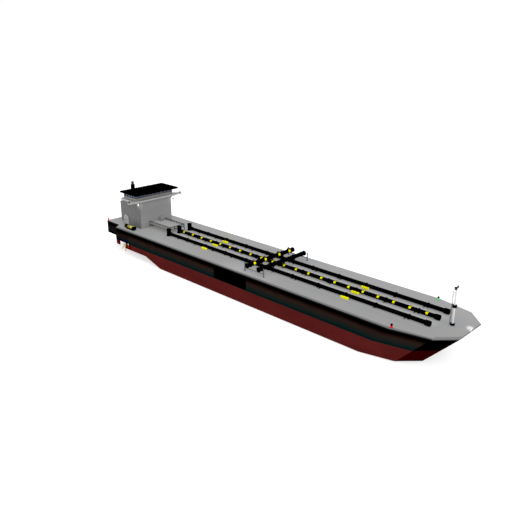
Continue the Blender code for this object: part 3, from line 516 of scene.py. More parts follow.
class HouseSettings(bpy.types.PropertyGroup):
    """Paint and fittings of the house, bridge and casing."""
    wall_grey: colour_setting("Wall grey", "Paint of the house", linear(121, 121, 121))
    trim_grey: colour_setting("Trim grey", "Bridge deck, wings and doors", linear(158, 158, 158))
    bridge_beige: colour_setting("Bridge beige", "Wheelhouse walls", linear(148, 146, 141))
    window_navy: colour_setting("Window navy", "Glass of the bridge and portholes", linear(44, 50, 88))
    roof_black: colour_setting("Roof black", "Roof, funnel and railings", linear(0, 0, 0))
    soot: colour_setting("Soot", "Top of the funnel", linear(58, 50, 46))
    porthole_radius: length_setting("Porthole radius", "Outside of a porthole's rim", 0.019)


class FittingSettings(bpy.types.PropertyGroup):
    """Paint and small parts of the deck gear."""
    yellow: colour_setting("Yellow", "Valves, valve boxes and the winch's bolts", linear(253, 248, 0))
    pipe_black: colour_setting("Pipe black", "Pipes, winch and lamp caps", linear(3, 3, 3))
    wheel_red: colour_setting("Wheel red", "Valve handwheels", linear(64, 4, 4))
    lamp_white: colour_setting("Lamp white", "Foremast", linear(238, 238, 238))
    lamp_red: colour_setting("Lamp red", "Starboard lenses", linear(240, 0, 0))
    lamp_green: colour_setting("Lamp green", "Port lenses", linear(80, 240, 110))
    bronze: colour_setting("Bronze", "Propellers", linear(236, 222, 170))
    wheel_radius: length_setting("Handwheel radius", "Rim of a manifold valve's handwheel", 0.045)
    flange_bolts: IntProperty(name="Flange bolts", description="Bolts round each pipe flange", default=10,
                              min=4)


class StageSettings(bpy.types.PropertyGroup):
    """Camera, floor and light."""
    lens: FloatProperty(name="Lens", description="Focal length on a 36 mm sensor", subtype="DISTANCE_CAMERA",
                        default=41.41, min=1.0)
    camera_place: FloatVectorProperty(name="Camera place", description="Where the camera stands", size=3,
                                      subtype="TRANSLATION", unit="LENGTH", default=(15.885, -16.14, 9.536))
    camera_yaw: FloatProperty(name="Yaw", description="Heading of the view from +X", subtype="ANGLE",
                              default=2.349)
    camera_pitch: FloatProperty(name="Pitch", description="How far the view looks down", subtype="ANGLE",
                                default=0.3461)
    floor_radius: length_setting("Floor radius", "Half width of the pale floor", 400.0)
    floor_glow: strength_setting("Floor glow", "Light of the floor itself, which thins the shadow", 0.62)
    sky: strength_setting("Sky", "Strength of the plain white surroundings", 1.02)
    sun: strength_setting("Sun", "Strength of the soft key light", 0.9)


SETTINGS = {"tanker_hull": HullSettings, "tanker_house": HouseSettings, "tanker_fittings": FittingSettings,
            "tanker_stage": StageSettings}


# Finishes

def plain_paint(name, colour, roughness, grime):
    """Paint with soft mottling, small dull specks and a fine brushed grain."""
    finish = Finish(name)
    fine = finish.noise(60.0, 4.0)
    dark = shaded(colour, 1 - grime)
    light = tuple(min(1.0, c * (1 + grime * 0.4) + 0.002) for c in colour)
    shade = finish.mix(finish.patches(0.35, 0.65, 3.0), dark, light)
    shade = finish.mix(finish.specks(24.0, 0.12) * 0.5, shade, dark)
    return finish.done(shade, finish.varied(roughness, fine, 0.25), fine, PAINT_DEPTH)


def pipe_paint(name, colour):
    """Satin black paint with dusty patches and rubbed spots, still to be marked or done."""
    finish = Finish(name, Specular_IOR_Level=0.0)
    dust = finish.patches(0.45, 0.75, 6.0, 5.0)
    shade = finish.mix(dust * 0.5, colour, tuple(c + 0.001 for c in colour))
    rubbed = finish.specks(18.0, 0.10) * finish.patches(0.5, 0.7, 2.0)
    shade = finish.mix(rubbed * 0.4, shade, linear(40, 36, 34))
    fine = finish.noise(80.0)
    return finish, shade, finish.varied(0.5, fine, 0.1) + dust * 0.2, fine


def black_paint(name, colour):
    """Satin black paint with no other marks."""
    finish, shade, gloss, fine = pipe_paint(name, colour)
    return finish.done(shade, gloss, fine, PAINT_DEPTH)


def worn_yellow(finish, yellow):
    """Bright yellow, chipped to a darker yellow."""
    return finish.mix(finish.patches(0.62, 0.74, 14.0, 5.0) * 0.2, yellow, shaded(yellow, (0.55, 0.5, 0.4)))


def yellow_paint(fittings):
    """Bright yellow paint, darker near the deck."""
    finish = Finish("yellow_paint", Specular_IOR_Level=0.1)
    darker_near_deck = 1 - finish.rise(finish.z, DECK_Z, above_deck(0.03))
    shade = finish.mix(darker_near_deck * 0.35, worn_yellow(finish, fittings.yellow), linear(120, 110, 0))
    fine = finish.noise(90.0)
    return finish.done(shade, finish.varied(0.45, fine, 0.2), fine, 0.0005)


def bow_cheek_shade(finish):
    """1 on the bow's cheeks, where the hull has painted shade."""
    lean, start, end = BOW_SHADE_LINE
    return finish.rise(finish.x - finish.z * lean, start, end)


def topside_paint(paint):
    """Black side, browner lower down, with a teal line over the red, weld seams, and painted shade on the
    bow's cheeks and at the stern's foot.
    """
    finish = Finish("topside_paint", Specular_IOR_Level=0.0)
    mottled = finish.noise(5.0, 5.0, (0.5, 1.0, 1.6))
    height = (finish.varied(finish.z, finish.noise(2.2), 0.05) - PAINT_Z) / (DECK_Z - PAINT_Z)
    brown = paint.topside_brown
    colour = finish.node("ShaderNodeValToRGB", {"stops": [
        (0.0, paint.border_teal), (0.06, paint.border_teal), (0.12, linear(13, 28, 26)),
        (0.22, linear(23, 28, 26)), (0.40, linear(34, 28, 25)), (0.50, brown), (0.62, shaded(brown, 0.45)),
        (0.70, linear(10, 2, 1)), (0.80, paint.topside_black)]}, {"Fac": height})
    aft = 1 - finish.rise(finish.x, *STERN_DARK_X)
    low = 1 - finish.rise(height, 0.10, 0.20)
    colour = finish.mix(aft * 0.45, colour, paint.topside_black)
    # Painted shade: the foot of the side at the stern is navy, as under the counter.
    colour = finish.mix(aft * low, colour, linear(0, 0, 3))
    colour = finish.mix(finish.band(finish.x, *STERN_SHADE_X, 0.05) * low, colour, linear(0, 0, 46))
    streaks = finish.patches(0.60, 0.78, 1.0, 4.0, (9.0, 9.0, 0.7)) * finish.band(height, 0.15, 0.62, 0.1)
    colour = finish.mix(streaks * 0.4, colour, linear(54, 32, 24))
    colour = finish.mix(mottled * 0.3, colour, paint.topside_black)
    # Painted shade: the bow's cheeks are black.
    colour = finish.mix(bow_cheek_shade(finish), colour, paint.topside_black)
    panel = finish.band(finish.x, *PANEL_X, 0.03) * (finish.y < 0)
    colour = finish.mix(panel, colour, paint.topside_black)
    welds = finish.panels(PLATE_SEAM, x=paint.plate_length, z=paint.plate_height)
    return finish.done(colour, 0.62 + mottled * 0.2, welds * 0.5 + finish.noise(2.5, 2.0) * 0.8, 0.003)


def bottom_paint(paint):
    """Dull red bottom paint, scuffed and darker in cloudy patches, with painted shade on the bow's cheeks.
    """
    finish = Finish("bottom_paint", Specular_IOR_Level=0.0)
    red = paint.bottom_red
    colour = finish.mix(finish.patches(0.35, 0.68, 1.6, 5.0, (0.6, 1.0, 1.4)), shaded(red, 0.84), red)
    colour = finish.mix(finish.specks(7.0, 0.10) * 0.5, colour, shaded(red, 0.6))
    cheek = bow_cheek_shade(finish)
    # Painted shade: the bow's cheeks are a darker red, and black over the line.
    colour = finish.mix(cheek, colour, paint.bow_shade_red)
    colour = finish.mix((1 - finish.rise(finish.x, *STERN_RED_X)) * 0.95, colour, linear(86, 0, 0))
    lip = finish.mix(cheek, paint.border_teal, paint.topside_black)
    colour = finish.mix(finish.z > PAINT_Z - TEAL_LIP, colour, lip)
    welds = finish.panels(PLATE_SEAM, x=paint.plate_length, z=paint.plate_height)
    fine = finish.noise(70.0, 4.0)
    return finish.done(colour, finish.varied(0.7, fine, 0.2), welds * 0.5 + fine * 0.15, 0.003)


def deck_shade(finish, paint):
    """The colour of the deck's plates, with its clouds and scuffs, painted shade to starboard, painted light
    by the manifold and along the middle, and the mask of its welds.
    """
    grey = paint.deck_grey
    cool, warm = shaded(grey, (0.955, 0.975, 1.0)), shaded(grey, (1.03, 1.01, 0.995))
    colour = finish.mix(finish.patches(0.35, 0.65, 0.9, 4.0), cool, warm)
    dark = shaded(grey, 0.86)
    colour = finish.mix(finish.patches(0.60, 0.75, 3.5, 6.0, (0.4, 1.0, 1.0)) * 0.35, colour, dark)
    lit_by_manifold = finish.near((MANIFOLD_X["aft"], STAND_Y[0], DECK_Z), MANIFOLD_LIGHT_RADIUS)
    # Painted shade: the deck darkens to starboard, forward of the house.
    across, along = STARBOARD_PAINTED_SHADE
    starboard = (1 - finish.rise(finish.y, *across)) * finish.rise(finish.x, *along) * (1 - lit_by_manifold)
    colour = finish.mix(starboard * 0.5, colour, dark)
    # Painted light: the deck is paler by the manifold, against the shade of its pipes and stands.
    colour = finish.mix(lit_by_manifold, colour, shaded(grey, 1.14))
    welds = finish.panels(PLATE_SEAM, x=paint.plate_length, y=PLATE_WIDTH)
    colour = finish.mix(welds * 0.12, colour, shaded(grey, 0.75))
    # Painted light: a paler strip along the middle of the deck, against the shade among the cargo lines.
    aft, fore, inside, outside = LIT_STRIP
    lit_strip = (1 - finish.rise(abs(finish.y), inside, outside)) * finish.band(finish.x, aft, fore, 0.4)
    return finish.mix(lit_strip, colour, shaded(grey, 1.20)), welds


def stem_light_pool(finish):
    """1 in the long painted pool of light by the stem lamp."""
    x, y = finish.x - STEM_LIGHT_POOL[0], finish.y - STEM_LIGHT_POOL[1]
    way_x, way_y = STEM_LIGHT_POOL_WAY
    along, across = x * way_x + y * way_y, x * way_y - y * way_x
    away = ((along * STEM_LIGHT_POOL_SQUEEZE) ** 2 + across ** 2) ** 0.5
    return 1 - finish.rise(away, *STEM_LIGHT_POOL_FADE)


def deck_rims(finish, margin):
    """Three masks: the bow, the margin along the starboard side, and the margin round the bow; both margins
    are painted shade.
    """
    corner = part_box("main_deck")[1]
    bow = finish.rise(finish.x, CHEEK_X[1], CHEEK_X[1] + 0.02)
    flank = finish.y * -1 + (finish.x - CHEEK_X[0]) * CHEEK_SLOPE * (finish.x > CHEEK_X[0])
    cheek = (finish.y * -1 + (finish.x - CHEEK_X[1]) * BOW_SLOPE) / math.hypot(1.0, BOW_SLOPE)
    bow_shade_rim = (finish.x > corner[0] - margin * 0.6) + (cheek > CHEEK_Y - margin * 1.5)
    return bow, (flank > corner[1] - margin) * (1 - bow), (bow_shade_rim > 0.5) * bow


def deck_paint(name, paint, top, edge_height):
    """Matt non-slip grey with faint cool and warm clouds, weld seams, a darker margin of painted shade, a
    black side, and painted light: a glow of its own.
    """
    finish = Finish(name, Specular_IOR_Level=0.1, Emission_Strength=paint.deck_glow)
    colour, welds = deck_shade(finish, paint)
    # Painted light: a pale pool on the deck by the stem lamp.
    colour = finish.mix(stem_light_pool(finish), colour, linear(182, 182, 182))
    bow, rim, bow_shade_rim = deck_rims(finish, paint.margin)
    # Painted shade: a darker margin along the starboard edge and round the bow, where the deck's shaded edge
    # shows.
    colour = finish.mix(rim, colour, paint.edge_grey)
    colour = finish.mix(bow_shade_rim, colour, paint.bow_shade_grey)
    edge = finish.mix(finish.z < top - edge_height, paint.edge_grey, linear(2, 2, 2))
    side = finish.z < top - 0.0015
    colour = finish.mix(side, colour, finish.mix(bow, edge, linear(104, 104, 104)))
    grit = finish.noise(160.0, 2.0)
    # Painted light: the deck's top glows in its own colour to thin its shadows; its margins and side don't
    # glow.
    glow = finish.mix(side + rim + bow_shade_rim, colour, BLACK)
    return finish.done(colour, finish.varied(0.72, grit, 0.2), welds * 0.6 + grit * 0.22, PLATE_DEPTH, glow)


def house_paint(house):
    """Mid-grey walls with panel welds, rain streaks, painted light and shade (a lighter front, darker sides
    and a lighter foot) and a pale painted pool of light beside each globe lamp.
    """
    finish = Finish("house_paint", Specular_IOR_Level=0.25)
    grey = house.wall_grey
    front_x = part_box("deckhouse")[1][0]
    # Painted light and shade: the front is lighter and the sides darker than the wall grey, each lighter at
    # the foot.
    foot = 1 - finish.rise(finish.z, DECK_Z, above_deck(HOUSE_LIT_FOOT))
    front = finish.mix(foot, shaded(grey, 1.13), shaded(grey, 1.40))
    flank = finish.mix(foot, shaded(grey, 0.66), shaded(grey, 0.76))
    colour = finish.mix(finish.x > front_x - 0.002, flank, front)
    colour = finish.mix(finish.patches(0.3, 0.7, 1.8, 4.0) * 0.06, colour, BLACK)
    streaks = finish.patches(0.62, 0.80, 1.0, 4.0, (14.0, 14.0, 0.8))
    colour = finish.mix(streaks * 0.22, colour, linear(92, 84, 76))
    # Painted light: a pale pool on the front beside each globe lamp.
    patch_y, patch_height, patch_radius = GLOBE_LIGHT_POOL
    for side in SIDES.values():
        glow = finish.near((front_x, side * patch_y, above_deck(patch_height)), patch_radius)
        colour = finish.mix(glow * 0.6, colour, linear(168, 164, 158))
    level = finish.seams(finish.z - DECK_Z, WALL_PANEL_HEIGHT, PANEL_SEAM)
    fine = finish.noise(90.0)
    relief = level * 0.5 + finish.panels(PANEL_SEAM, **WALL_PANELS) * 0.25 + fine * 0.08
    return finish.done(colour, finish.varied(0.6, fine, 0.2), relief, PLATE_DEPTH)


def wheelhouse_paint(house):
    """Warm grey walls; the frames between the windows are as dark as the glass."""
    finish = Finish("wheelhouse_paint", Specular_IOR_Level=0.25)
    beige = house.bridge_beige
    walls = finish.mix(finish.noise(4.0, 4.0), shaded(beige, 0.9), shaded(beige, 1.06))
    low, high = WINDOW_BAND
    windows = finish.band(finish.z, above_deck(low), above_deck(high), 0.002)
    frames = finish.mix(finish.noise(7.0), linear(66, 72, 98), linear(98, 106, 126))
    fine = finish.noise(90.0)
    colour = finish.mix(windows, walls, frames)
    return finish.done(colour, finish.varied(0.55, fine, 0.2), fine * 0.15 - windows * 0.5, PLATE_DEPTH)


def glass_finish(house):
    """Dark navy glass with a slightly uneven gloss."""
    finish = Finish("bridge_glass", Specular_IOR_Level=0.5, Coat_Weight=0.3, Coat_Roughness=0.05)
    cloudy = finish.noise(5.0, 2.0)
    colour = finish.mix(cloudy, shaded(house.window_navy, 0.5), house.window_navy)
    return finish.done(colour, 0.10 + cloudy * 0.08, finish.noise(3.0, 1.0), 0.001)


def lens_paint(name, colour, black, cap_height):
    """A glowing ribbed lens on a black foot, under a black cap that starts at this height."""
    finish = Finish(name, Specular_IOR_Level=0.0, Emission_Strength=0.3)
    ribs = finish.seams(finish.z, 0.006, 0.002)
    lens = finish.mix(ribs * 0.3, colour, shaded(colour, 0.5))
    cap = finish.rise(finish.z, above_deck(cap_height), above_deck(cap_height + 0.002))
    dark = cap + (1 - finish.rise(finish.z, above_deck(0.006), above_deck(0.008)))
    glow = finish.mix(dark, lens, BLACK)
    return finish.done(finish.mix(dark, lens, black), 0.25 + finish.noise(30.0) * 0.15, ribs, 0.001, glow)


# Pieces

class TANKER_OT_stage(bpy.types.Operator):
    """Pale floor, plain white surroundings, one soft light and the camera"""
    bl_idname = "tanker.stage"
    bl_label = "Stage and camera"

    KEY_DIRECTION = (-0.62, 0.12, -0.62)
    KEY_SPREAD = math.radians(30)
    FARTHEST = 2000.0
    FLOOR_GAP = 0.002
    FLOOR_GREYS = (0.60, 0.62)

    def execute(self, context):
        scene = context.scene
        stage = scene.tanker_stage
        scene.view_settings.view_transform = "Standard"
        scene.view_settings.look = "None"
        self.light(scene, stage)
        self.camera(scene, stage)
        self.floor(scene, stage)
        return {"FINISHED"}

    def light(self, scene, stage):
        """White surroundings and a soft sun."""
        world = bpy.data.worlds.new("surroundings")
        world.use_nodes = True
        background = world.node_tree.nodes["Background"]
        background.inputs["Color"].default_value = (1.0, 1.0, 1.0, 1.0)
        background.inputs["Strength"].default_value = stage.sky
        scene.world = world
        sun = bpy.data.lights.new("key_light", "SUN")
        sun.energy = stage.sun
        sun.angle = self.KEY_SPREAD
        key = bpy.data.objects.new("key_light", sun)
        key.rotation_euler = Vector(self.KEY_DIRECTION).to_track_quat("-Z", "Y").to_euler()
        scene.collection.objects.link(key)

    def camera(self, scene, stage):
        """The camera where the photograph was seen from."""
        camera = bpy.data.cameras.new("camera")
        camera.sensor_width = 36.0
        camera.lens = stage.lens
        camera.clip_end = self.FARTHEST
        eye = bpy.data.objects.new("camera", camera)
        eye.location = stage.camera_place
        eye.rotation_euler = (math.pi / 2 - stage.camera_pitch, 0.0, stage.camera_yaw - math.pi / 2)
        scene.collection.objects.link(eye)
        scene.camera = eye

    def floor(self, scene, stage):
        """A wide pale floor just under the keel."""
        half = stage.floor_radius
        corners = [(-half, -half, 0), (half, -half, 0), (half, half, 0), (-half, half, 0)]
        data = bpy.data.meshes.new("floor")
        data.from_pydata(corners, [], [(0, 1, 2, 3)])
        finish = Finish("floor_finish", Specular_IOR_Level=0.0, Emission_Strength=stage.floor_glow)
        dark, light = ((grey,) * 3 for grey in self.FLOOR_GREYS)
        shade = finish.mix(finish.noise(0.4, 2.0), dark, light)
        data.materials.append(finish.done(shade, 0.95, emission=(1.0, 1.0, 1.0)))
        floor = bpy.data.objects.new("floor", data)
        floor.location.z = CAD_BOX[0][2] - self.FLOOR_GAP
        scene.collection.objects.link(floor)


class TANKER_OT_hull(bpy.types.Operator):
    """Paint on the hull, the deck and the platform"""
    bl_idname = "tanker.hull"
    bl_label = "Hull and deck"

    DECK_EDGE = 0.008                # height of the grey part of the deck's side
    PLATFORM_EDGE = 0.06

    def execute(self, context):
        paint = context.scene.tanker_hull
        coat(topside_paint(paint), "hull_topsides")
        coat(bottom_paint(paint), "hull_bottom", "shaft_starboard", "shaft_port", "rudder_starboard",
             "rudder_port")
        coat(deck_paint("deck_paint", paint, DECK_Z, self.DECK_EDGE), "main_deck")
        platform_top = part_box("platform")[1][2]
        coat(deck_paint("platform_paint", paint, platform_top, self.PLATFORM_EDGE), "platform")
        return {"FINISHED"}


class TANKER_OT_house(bpy.types.Operator):
    """Paint of the house, casing, doors and bridge deck, with portholes and the doors' dogs and wheels"""
    bl_idname = "tanker.house"
    bl_label = "Accommodation"

    ROWS = (0.40, 0.69, 0.98)        # heights of the portholes
    ACROSS = (-0.70, 0.70, 6)        # first, last and how many on the front and back
    ALONG = (-8.20, -7.62, -7.30, -6.98)
    SIDE_LIFT = 0.12                 # how much higher the rows are on the sides
    WHEEL_HEIGHT = 0.24
    WHEEL_RADIUS = 0.035
    WHEEL_REACH = 0.016              # in front of the door
    LIGHT_HEIGHT = 0.36
    DOGS = ((0.10, 0.165), (0.24, 0.165), (0.36, 0.13))   # height, and how far from the middle
    DOG_SIZE = (0.045, 0.008, 0.010)

    def execute(self, context):
        house = context.scene.tanker_house
        coat(house_paint(house), "deckhouse", "engine_casing", "platform_locker")
        trim = plain_paint("trim_paint", house.trim_grey, 0.55, 0.10)
        coat(trim, "side_door_starboard", "side_door_port", "bridge_deck")
        coat(plain_paint("ladder_paint", linear(84, 84, 84), 0.6, 0.15), "foremast_ladder")
        self.portholes(house.porthole_radius, trim, glass_finish(house))
        steel = plain_paint("bare_steel", linear(120, 118, 114), 0.4, 0.2)
        for side_name, side in SIDES.items():
            fittings = self.door(side_name, side)
            fittings.placed("door_fittings_" + side_name, steel, "trim_grey", side_name + "_door")
        return {"FINISHED"}

    def portholes(self, radius, trim, glass):
        """Round windows in rows on all four walls."""
        low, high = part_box("deckhouse")
        places = []
        for height in self.ROWS:
            for y in spread(*self.ACROSS):
                places += [((high[0], y, above_deck(height)), X), ((low[0], y, above_deck(height)), -X)]
            z = above_deck(height + self.SIDE_LIFT)
            for side in SIDES.values():
                places += [((x, side * high[1], z), Y * side) for x in self.ALONG]
        rims, panes = Shape(), Shape()
        pane = ((radius * 0.7, -0.004), (radius * 0.7, 0.001), (radius * 0.5, 0.002))
        for centre, axis in places:
            rims.ring(centre, axis, radius * 0.8, radius * 0.22, sides=20, section=6)
            panes.turned(pane, centre, axis, 16)
        rims.placed("porthole_rims", trim, "trim_grey")
        panes.placed("porthole_panes", glass, "window_glass")

    def door(self, side_name, side):
        """Wheel, dogs and round light of one door."""
        low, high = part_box("side_door_" + side_name)
        face = (high[1] if side > 0 else low[1]) - side * DOOR_FACE
        middle = (low[0] + high[0] - DOOR_HINGE) / 2
        hub = Vector((middle, face, above_deck(self.WHEEL_HEIGHT)))
        out = Y * side
        made = Shape()
        made.wheel(hub + out * self.WHEEL_REACH, out, self.WHEEL_RADIUS, 0.0035)
        made.rod(hub - out * 0.002, hub + out * self.WHEEL_REACH, 0.006, 8)
        length, reach, width = self.DOG_SIZE
        near, far = sorted((face, face + side * reach))
        for height, from_middle in self.DOGS:
            start, z = middle - from_middle, above_deck(height)
            made.box((start, near, z - width / 2), (start + length, far, z + width / 2), 0.002)
        made.ring((middle, face + side * 0.001, above_deck(self.LIGHT_HEIGHT)), out, 0.028, 0.004, 20, 6)
        return made


class TANKER_OT_bridge(bpy.types.Operator):
    """Paint of the wheelhouse, funnel, railing and wing lamps, and the brackets under the wings"""
    bl_idname = "tanker.bridge"
    bl_label = "Bridge"

    BRACKETS_X = (-7.70, -7.40, -7.10, -6.84)
    # A bracket's outline: out from the wall, and up from the wing's underside
    BRACKET = ((-0.002, 0.003), (-0.002, -0.13), (0.018, -0.13), (0.188, -0.012), (0.188, 0.003))

    def execute(self, context):
        house = context.scene.tanker_house
        coat(wheelhouse_paint(house), "wheelhouse_walls")
        coat(glass_finish(house), "wheelhouse_glass")
        finish, shade, gloss, fine = pipe_paint("roof_paint", house.roof_black)
        relief = finish.panels(PANEL_SEAM, **ROOF_PANELS) * 0.5 + fine * 0.2
        roof = finish.done(shade, gloss, relief, PLATE_DEPTH)
        coat(roof, "wheelhouse_roof", "funnel", "platform_railing", "wing_lamp_starboard", "wing_lamp_port")
        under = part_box("bridge_deck")[0][2]
        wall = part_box("deckhouse")[1][1]
        brackets = Shape()
        for side in SIDES.values():
            for x in self.BRACKETS_X:
                brackets.bracket([(x, side * (wall + out), under + up) for out, up in self.BRACKET], X)
        trim = plain_paint("bracket_paint", house.trim_grey, 0.55, 0.15)
        brackets.placed("wing_brackets", trim, "trim_grey")
        return {"FINISHED"}


class TANKER_OT_funnel(bpy.types.Operator):
    """Sooty funnel top with its exhausts, and the casing's louvres and ladder"""
    bl_idname = "tanker.funnel"
    bl_label = "Funnel and casing"

    EXHAUSTS = ((0.0, 0.022), (0.0, -0.022), (-0.028, 0.0))
    EXHAUST = ((0.012, -0.01), (0.012, 0.010), (0.009, 0.010), (0.009, 0.002))
    LOUVRE_HEIGHTS = (0.32, 0.68)
    LOUVRE_HALF = 0.09
    LOUVRE_INSETS = (0.09, 0.06)     # from the casing's back and front
    BACK_LOUVRE_Y = (0.02, 0.24)
    SLATS = 9
    SLAT_HALF = 0.005
    SLAT_REACH = (0.003, 0.010)      # into the wall and out of it
    LADDER_Y = (-0.19, -0.13)
    LADDER_GAP = 0.022               # behind the casing
    LADDER_STAYS = (0.12, 0.5, 0.86)
    RUNGS = 16

    def execute(self, context):
        house = context.scene.tanker_house
        soot = plain_paint("soot_finish", house.soot, 0.85, 0.45)
        coat(soot, "funnel_top")
        black = black_paint("funnel_band_paint", house.roof_black)
        x = middle_of("funnel").x
        self.bands(x, *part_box("funnel")).placed("funnel_bands", black, "pipe_black")
        pipes = Shape()
        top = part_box("funnel_top")[1][2]
        for shift, y in self.EXHAUSTS:
            pipes.turned(self.EXHAUST, (x + shift, y, top), Z, 16)
        pipes.placed("funnel_exhausts", soot, "soot_brown")
        low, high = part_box("engine_casing")
        walls = plain_paint("louvre_paint", house.wall_grey, 0.6, 0.2)
        self.louvres(low, high).placed("casing_louvres", walls, "house_grey")
        self.ladder(low[0], high[2]).placed("casing_ladder", black, "pipe_black")
        return {"FINISHED"}

    def bands(self, x, low, high):
        """Hoops round the funnel and its bolted foot flange."""
        radius = (high[0] - low[0]) / 2
        made = Shape()
        for z in (low[2] + 0.012, low[2] + 0.38, high[2] - 0.02):
            made.ring((x, 0.0, z), Z, radius, 0.006)
        made.bolts((x, 0.0, low[2] + 0.002), Z, radius + 0.022, 12, 0.005)
        foot = ((radius + 0.035, -0.004), (radius + 0.035, 0.003), (radius + 0.002, 0.004))
        return made.turned(foot, (x, 0.0, low[2]), Z, 32)

    def louvres(self, low, high):
        """Slats on both sides of the casing and on its back."""
        sunk, out = self.SLAT_REACH
        start, end = low[0] + self.LOUVRE_INSETS[0], high[0] - self.LOUVRE_INSETS[1]
        footprints = []
        for side in SIDES.values():
            near, far = sorted((side * (high[1] - sunk), side * (high[1] + out)))
            footprints.append(((start, near), (end, far)))
        near, far = self.BACK_LOUVRE_Y
        footprints.append(((low[0] - out, near), (low[0] + sunk, far)))
        made = Shape()
        for height in self.LOUVRE_HEIGHTS:
            middle = above_deck(height)
            for first, last in footprints:
                for z in spread(middle - self.LOUVRE_HALF, middle + self.LOUVRE_HALF, self.SLATS):
                    made.box((*first, z - self.SLAT_HALF), (*last, z + self.SLAT_HALF), 0.002)
        return made

    def ladder(self, wall, top):
        """An upright ladder on stays behind the casing."""
        x = wall - self.LADDER_GAP
        near, far = self.LADDER_Y
        made = Shape()
        for y in self.LADDER_Y:
            made.rod((x, y, above_deck(0.01)), (x, y, top - 0.01), 0.005, 8)
        for z in spread(above_deck(0.06), top - 0.05, self.RUNGS):
            made.rod((x, near, z), (x, far, z), 0.0035, 6)
        for height in self.LADDER_STAYS:
            for y in self.LADDER_Y:
                made.rod((x, y, above_deck(height)), (wall + 0.002, y, above_deck(height)), 0.004, 6)
        return made


class TANKER_OT_platform(bpy.types.Operator):
    """Brackets under the platform, the railing's grips, and the locker's door, hinges and handle"""
    bl_idname = "tanker.platform"
    bl_label = "Platform"

    BRACKETS = 5
    # A bracket's outline: forward from the house's wall, and up from the platform's underside
    BRACKET = ((0.002, 0.003), (0.002, -0.09), (0.02, -0.09), (0.20, -0.01), (0.20, 0.003))
    BEAM = (0.012, 0.022)            # half width and height of a beam under the platform
    GRIP_RADIUS = 0.015

    def execute(self, context):
        trim = plain_paint("platform_trim", context.scene.tanker_house.wall_grey, 0.55, 0.2)
        self.brackets().placed("platform_brackets", trim, "house_grey")
        black = plain_paint("grip_paint", linear(6, 6, 6), 0.6, 0.2)
        self.grips().placed("railing_grip", black, "pipe_black")
        self.locker_door().placed("locker_door", trim, "house_grey")
        return {"FINISHED"}

    def brackets(self):
        """Brackets at the house's wall and two beams along the platform."""
        low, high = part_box("platform")
        made = Shape()
        for y in spread(low[1] + 0.05, high[1] - 0.05, self.BRACKETS):
            made.bracket([(low[0] + out, y, low[2] + up) for out, up in self.BRACKET], Y)
        half, height = self.BEAM
        start, end = low[0] + 0.01, high[0] - 0.01
        for y in (low[1] + 0.06, high[1] - 0.06):
            made.box((start, y - half, low[2] - height), (end, y + half, low[2] + 0.002), 0.003)
        return made

    def grips(self):
        """Thicker grips over the platform's top rails."""
        low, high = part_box("platform_railing")
        start, end, reach = low[0] + 0.01, high[0] - RAIL_INSET, high[1] - RAIL_INSET
        starboard, port = ((start, -reach), (end, -reach)), ((start, reach), (end, reach))
        made = Shape()
        for run in (starboard, port, (starboard[1], port[1])):
            made.pipe([(x, y, above_deck(RAIL_TOP)) for x, y in run], self.GRIP_RADIUS, 12)
        return made

    def locker_door(self):
        """The locker's door with its hinges and handle."""
        low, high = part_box("platform_locker")
        front = high[0]
        corner = (front + 0.005, high[1] - 0.02, high[2] - 0.02)
        made = Shape().box((front - 0.003, low[1] + 0.02, low[2] + 0.015), corner, 0.003)
        hinge = (front + 0.006, high[1] - 0.018)
        for z in (low[2] + 0.05, high[2] - 0.055):
            made.rod((*hinge, z - 0.012), (*hinge, z + 0.012), 0.004, 8)
        return made.handle((front, low[1] + 0.05, low[2] + 0.08), Z, 0.04, X * 0.014, 0.003, 0.004)


